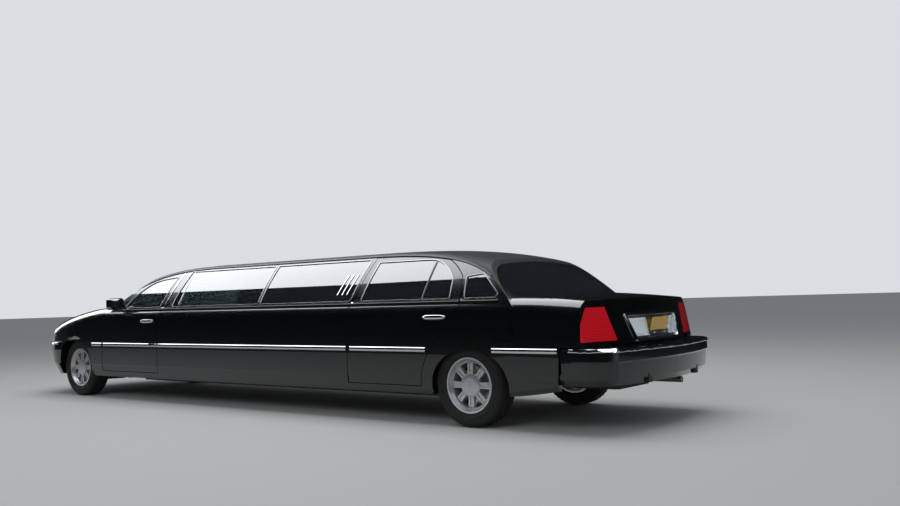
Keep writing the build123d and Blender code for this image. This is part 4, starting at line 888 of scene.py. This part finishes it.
def cushion(low, high, axis, channels, puff):
    """Crowned pad between two corners, its sides drawn in, sewn in channels."""
    bm = bmesh.new()
    middle = [(a + b) / 2 for a, b in zip(low, high)]
    half = [(b - a) / 2 for a, b in zip(low, high)]
    cuts = 40
    bmesh.ops.create_cube(bm, size=2.0)
    bmesh.ops.subdivide_edges(bm, edges=bm.edges[:], cuts=cuts, use_grid_fill=True)
    thin = {0: (1, 2), 2: (0, 1)}[axis]
    for vert in bm.verts:
        p = list(vert.co)
        q = [c / max(1.0, (sum(abs(w) ** 6 for w in p)) ** (1 / 6)) for c in p]
        u, v = q[thin[0]], q[thin[1]]
        crown = (1 - abs(u) ** 3) * (1 - abs(v) ** 3)
        across = v if axis == 2 else u
        seam = abs(math.sin(across * channels * math.pi / 2 + (math.pi / 2 if channels % 2 == 0 else 0)))
        dent = 0.10 * (1 - min(1.0, seam * 3.5)) * min(1.0, crown * 3)
        q[axis] *= (1 - puff) + puff * crown - dent
        pinch = 1 - 0.03 * (1 - abs(q[axis]))
        q[thin[0]] *= pinch
        q[thin[1]] *= pinch
        vert.co = Vector([m + h * 0.985 * c for m, h, c in zip(middle, half, q)])
    return bm


def seat_pads(prefix, base_low, base_high, back_low, back_high, channels):
    """A seat's base cushion and its back."""
    pads = []
    for part, low, high, axis in (("base", base_low, base_high, 2), ("back", back_low, back_high, 0)):
        bm = cushion(low, high, axis, channels, 0.16)
        pad = fitted(mesh_piece(f"{prefix}_{part}", bm, leather, 60), "body")
        pads.append(pad)
    return pads


front_pads = []
for side, label in ((1, "left"), (-1, "right")):
    y_low, y_high = sorted((side * 0.130, side * 0.690))
    front_pads += seat_pads(
        "front_seat_" + label, (FRONT_X - 1.72, y_low, 0.40), (FRONT_X - 1.20, y_high, 0.56),
        (FRONT_X - 1.86, y_low, 0.42), (FRONT_X - 1.72, y_high, 1.10), 5)
bench_pads = seat_pads("rear_bench", (REAR_X + 0.33, -0.70, 0.562), (REAR_X + 0.90, 0.70, 0.640),
                       (REAR_X + 0.18, -0.70, 0.562), (REAR_X + 0.33, 0.70, 1.13), 12)
for pad in front_pads:
    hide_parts("front_seats")
for pad in bench_pads:
    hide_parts("passenger_seats")

# Carpet: cut pile with a bound edge, laid over the floor from the firewall
# to the rear bench, down into the footwells and up over the tunnel.
PILE_MM = 4.0
carpet_pile, tree, shader = material("cut-pile carpet", "#1D1D20", Roughness=0.95, Sheen_Weight=0.4)
tufts = put(tree, "ShaderNodeTexNoise", {"Scale": 1000 / PILE_MM, "Detail": 3.0})
two_tone(tree, shader, tufts.outputs["Fac"], "#141416", "#2B2B2F")
relief(tree, shader, tufts.outputs["Fac"], 0.6, 0.002)
floor_tree = tree_of("floor_pan")
CARPET_STEP = 0.03
CARPET_THICK = 0.007
bm = bmesh.new()
grid = []
x = REAR_X + 0.96
while x < FRONT_X - 0.85:
    line = []
    y = -0.78
    while y < 0.781:
        place, normal, face, distance = floor_tree.ray_cast(Vector((x, y, 0.62)), Vector((0, 0, -1)))
        line.append(bm.verts.new((x, y, place.z + CARPET_THICK)) if place else None)
        y += CARPET_STEP
    grid.append(line)
    x += CARPET_STEP
for a, b in zip(grid, grid[1:]):
    for j in range(len(a) - 1):
        quad = (a[j], a[j + 1], b[j + 1], b[j])
        if all(quad) and max(v.co.z for v in quad) - min(v.co.z for v in quad) < 0.2:
            bm.faces.new(quad)
bmesh.ops.recalc_face_normals(bm, faces=bm.faces)
bmesh.ops.solidify(bm, geom=bm.faces[:], thickness=CARPET_THICK)
fitted(mesh_piece("carpet", bm, carpet_pile), "body")

low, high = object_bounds()
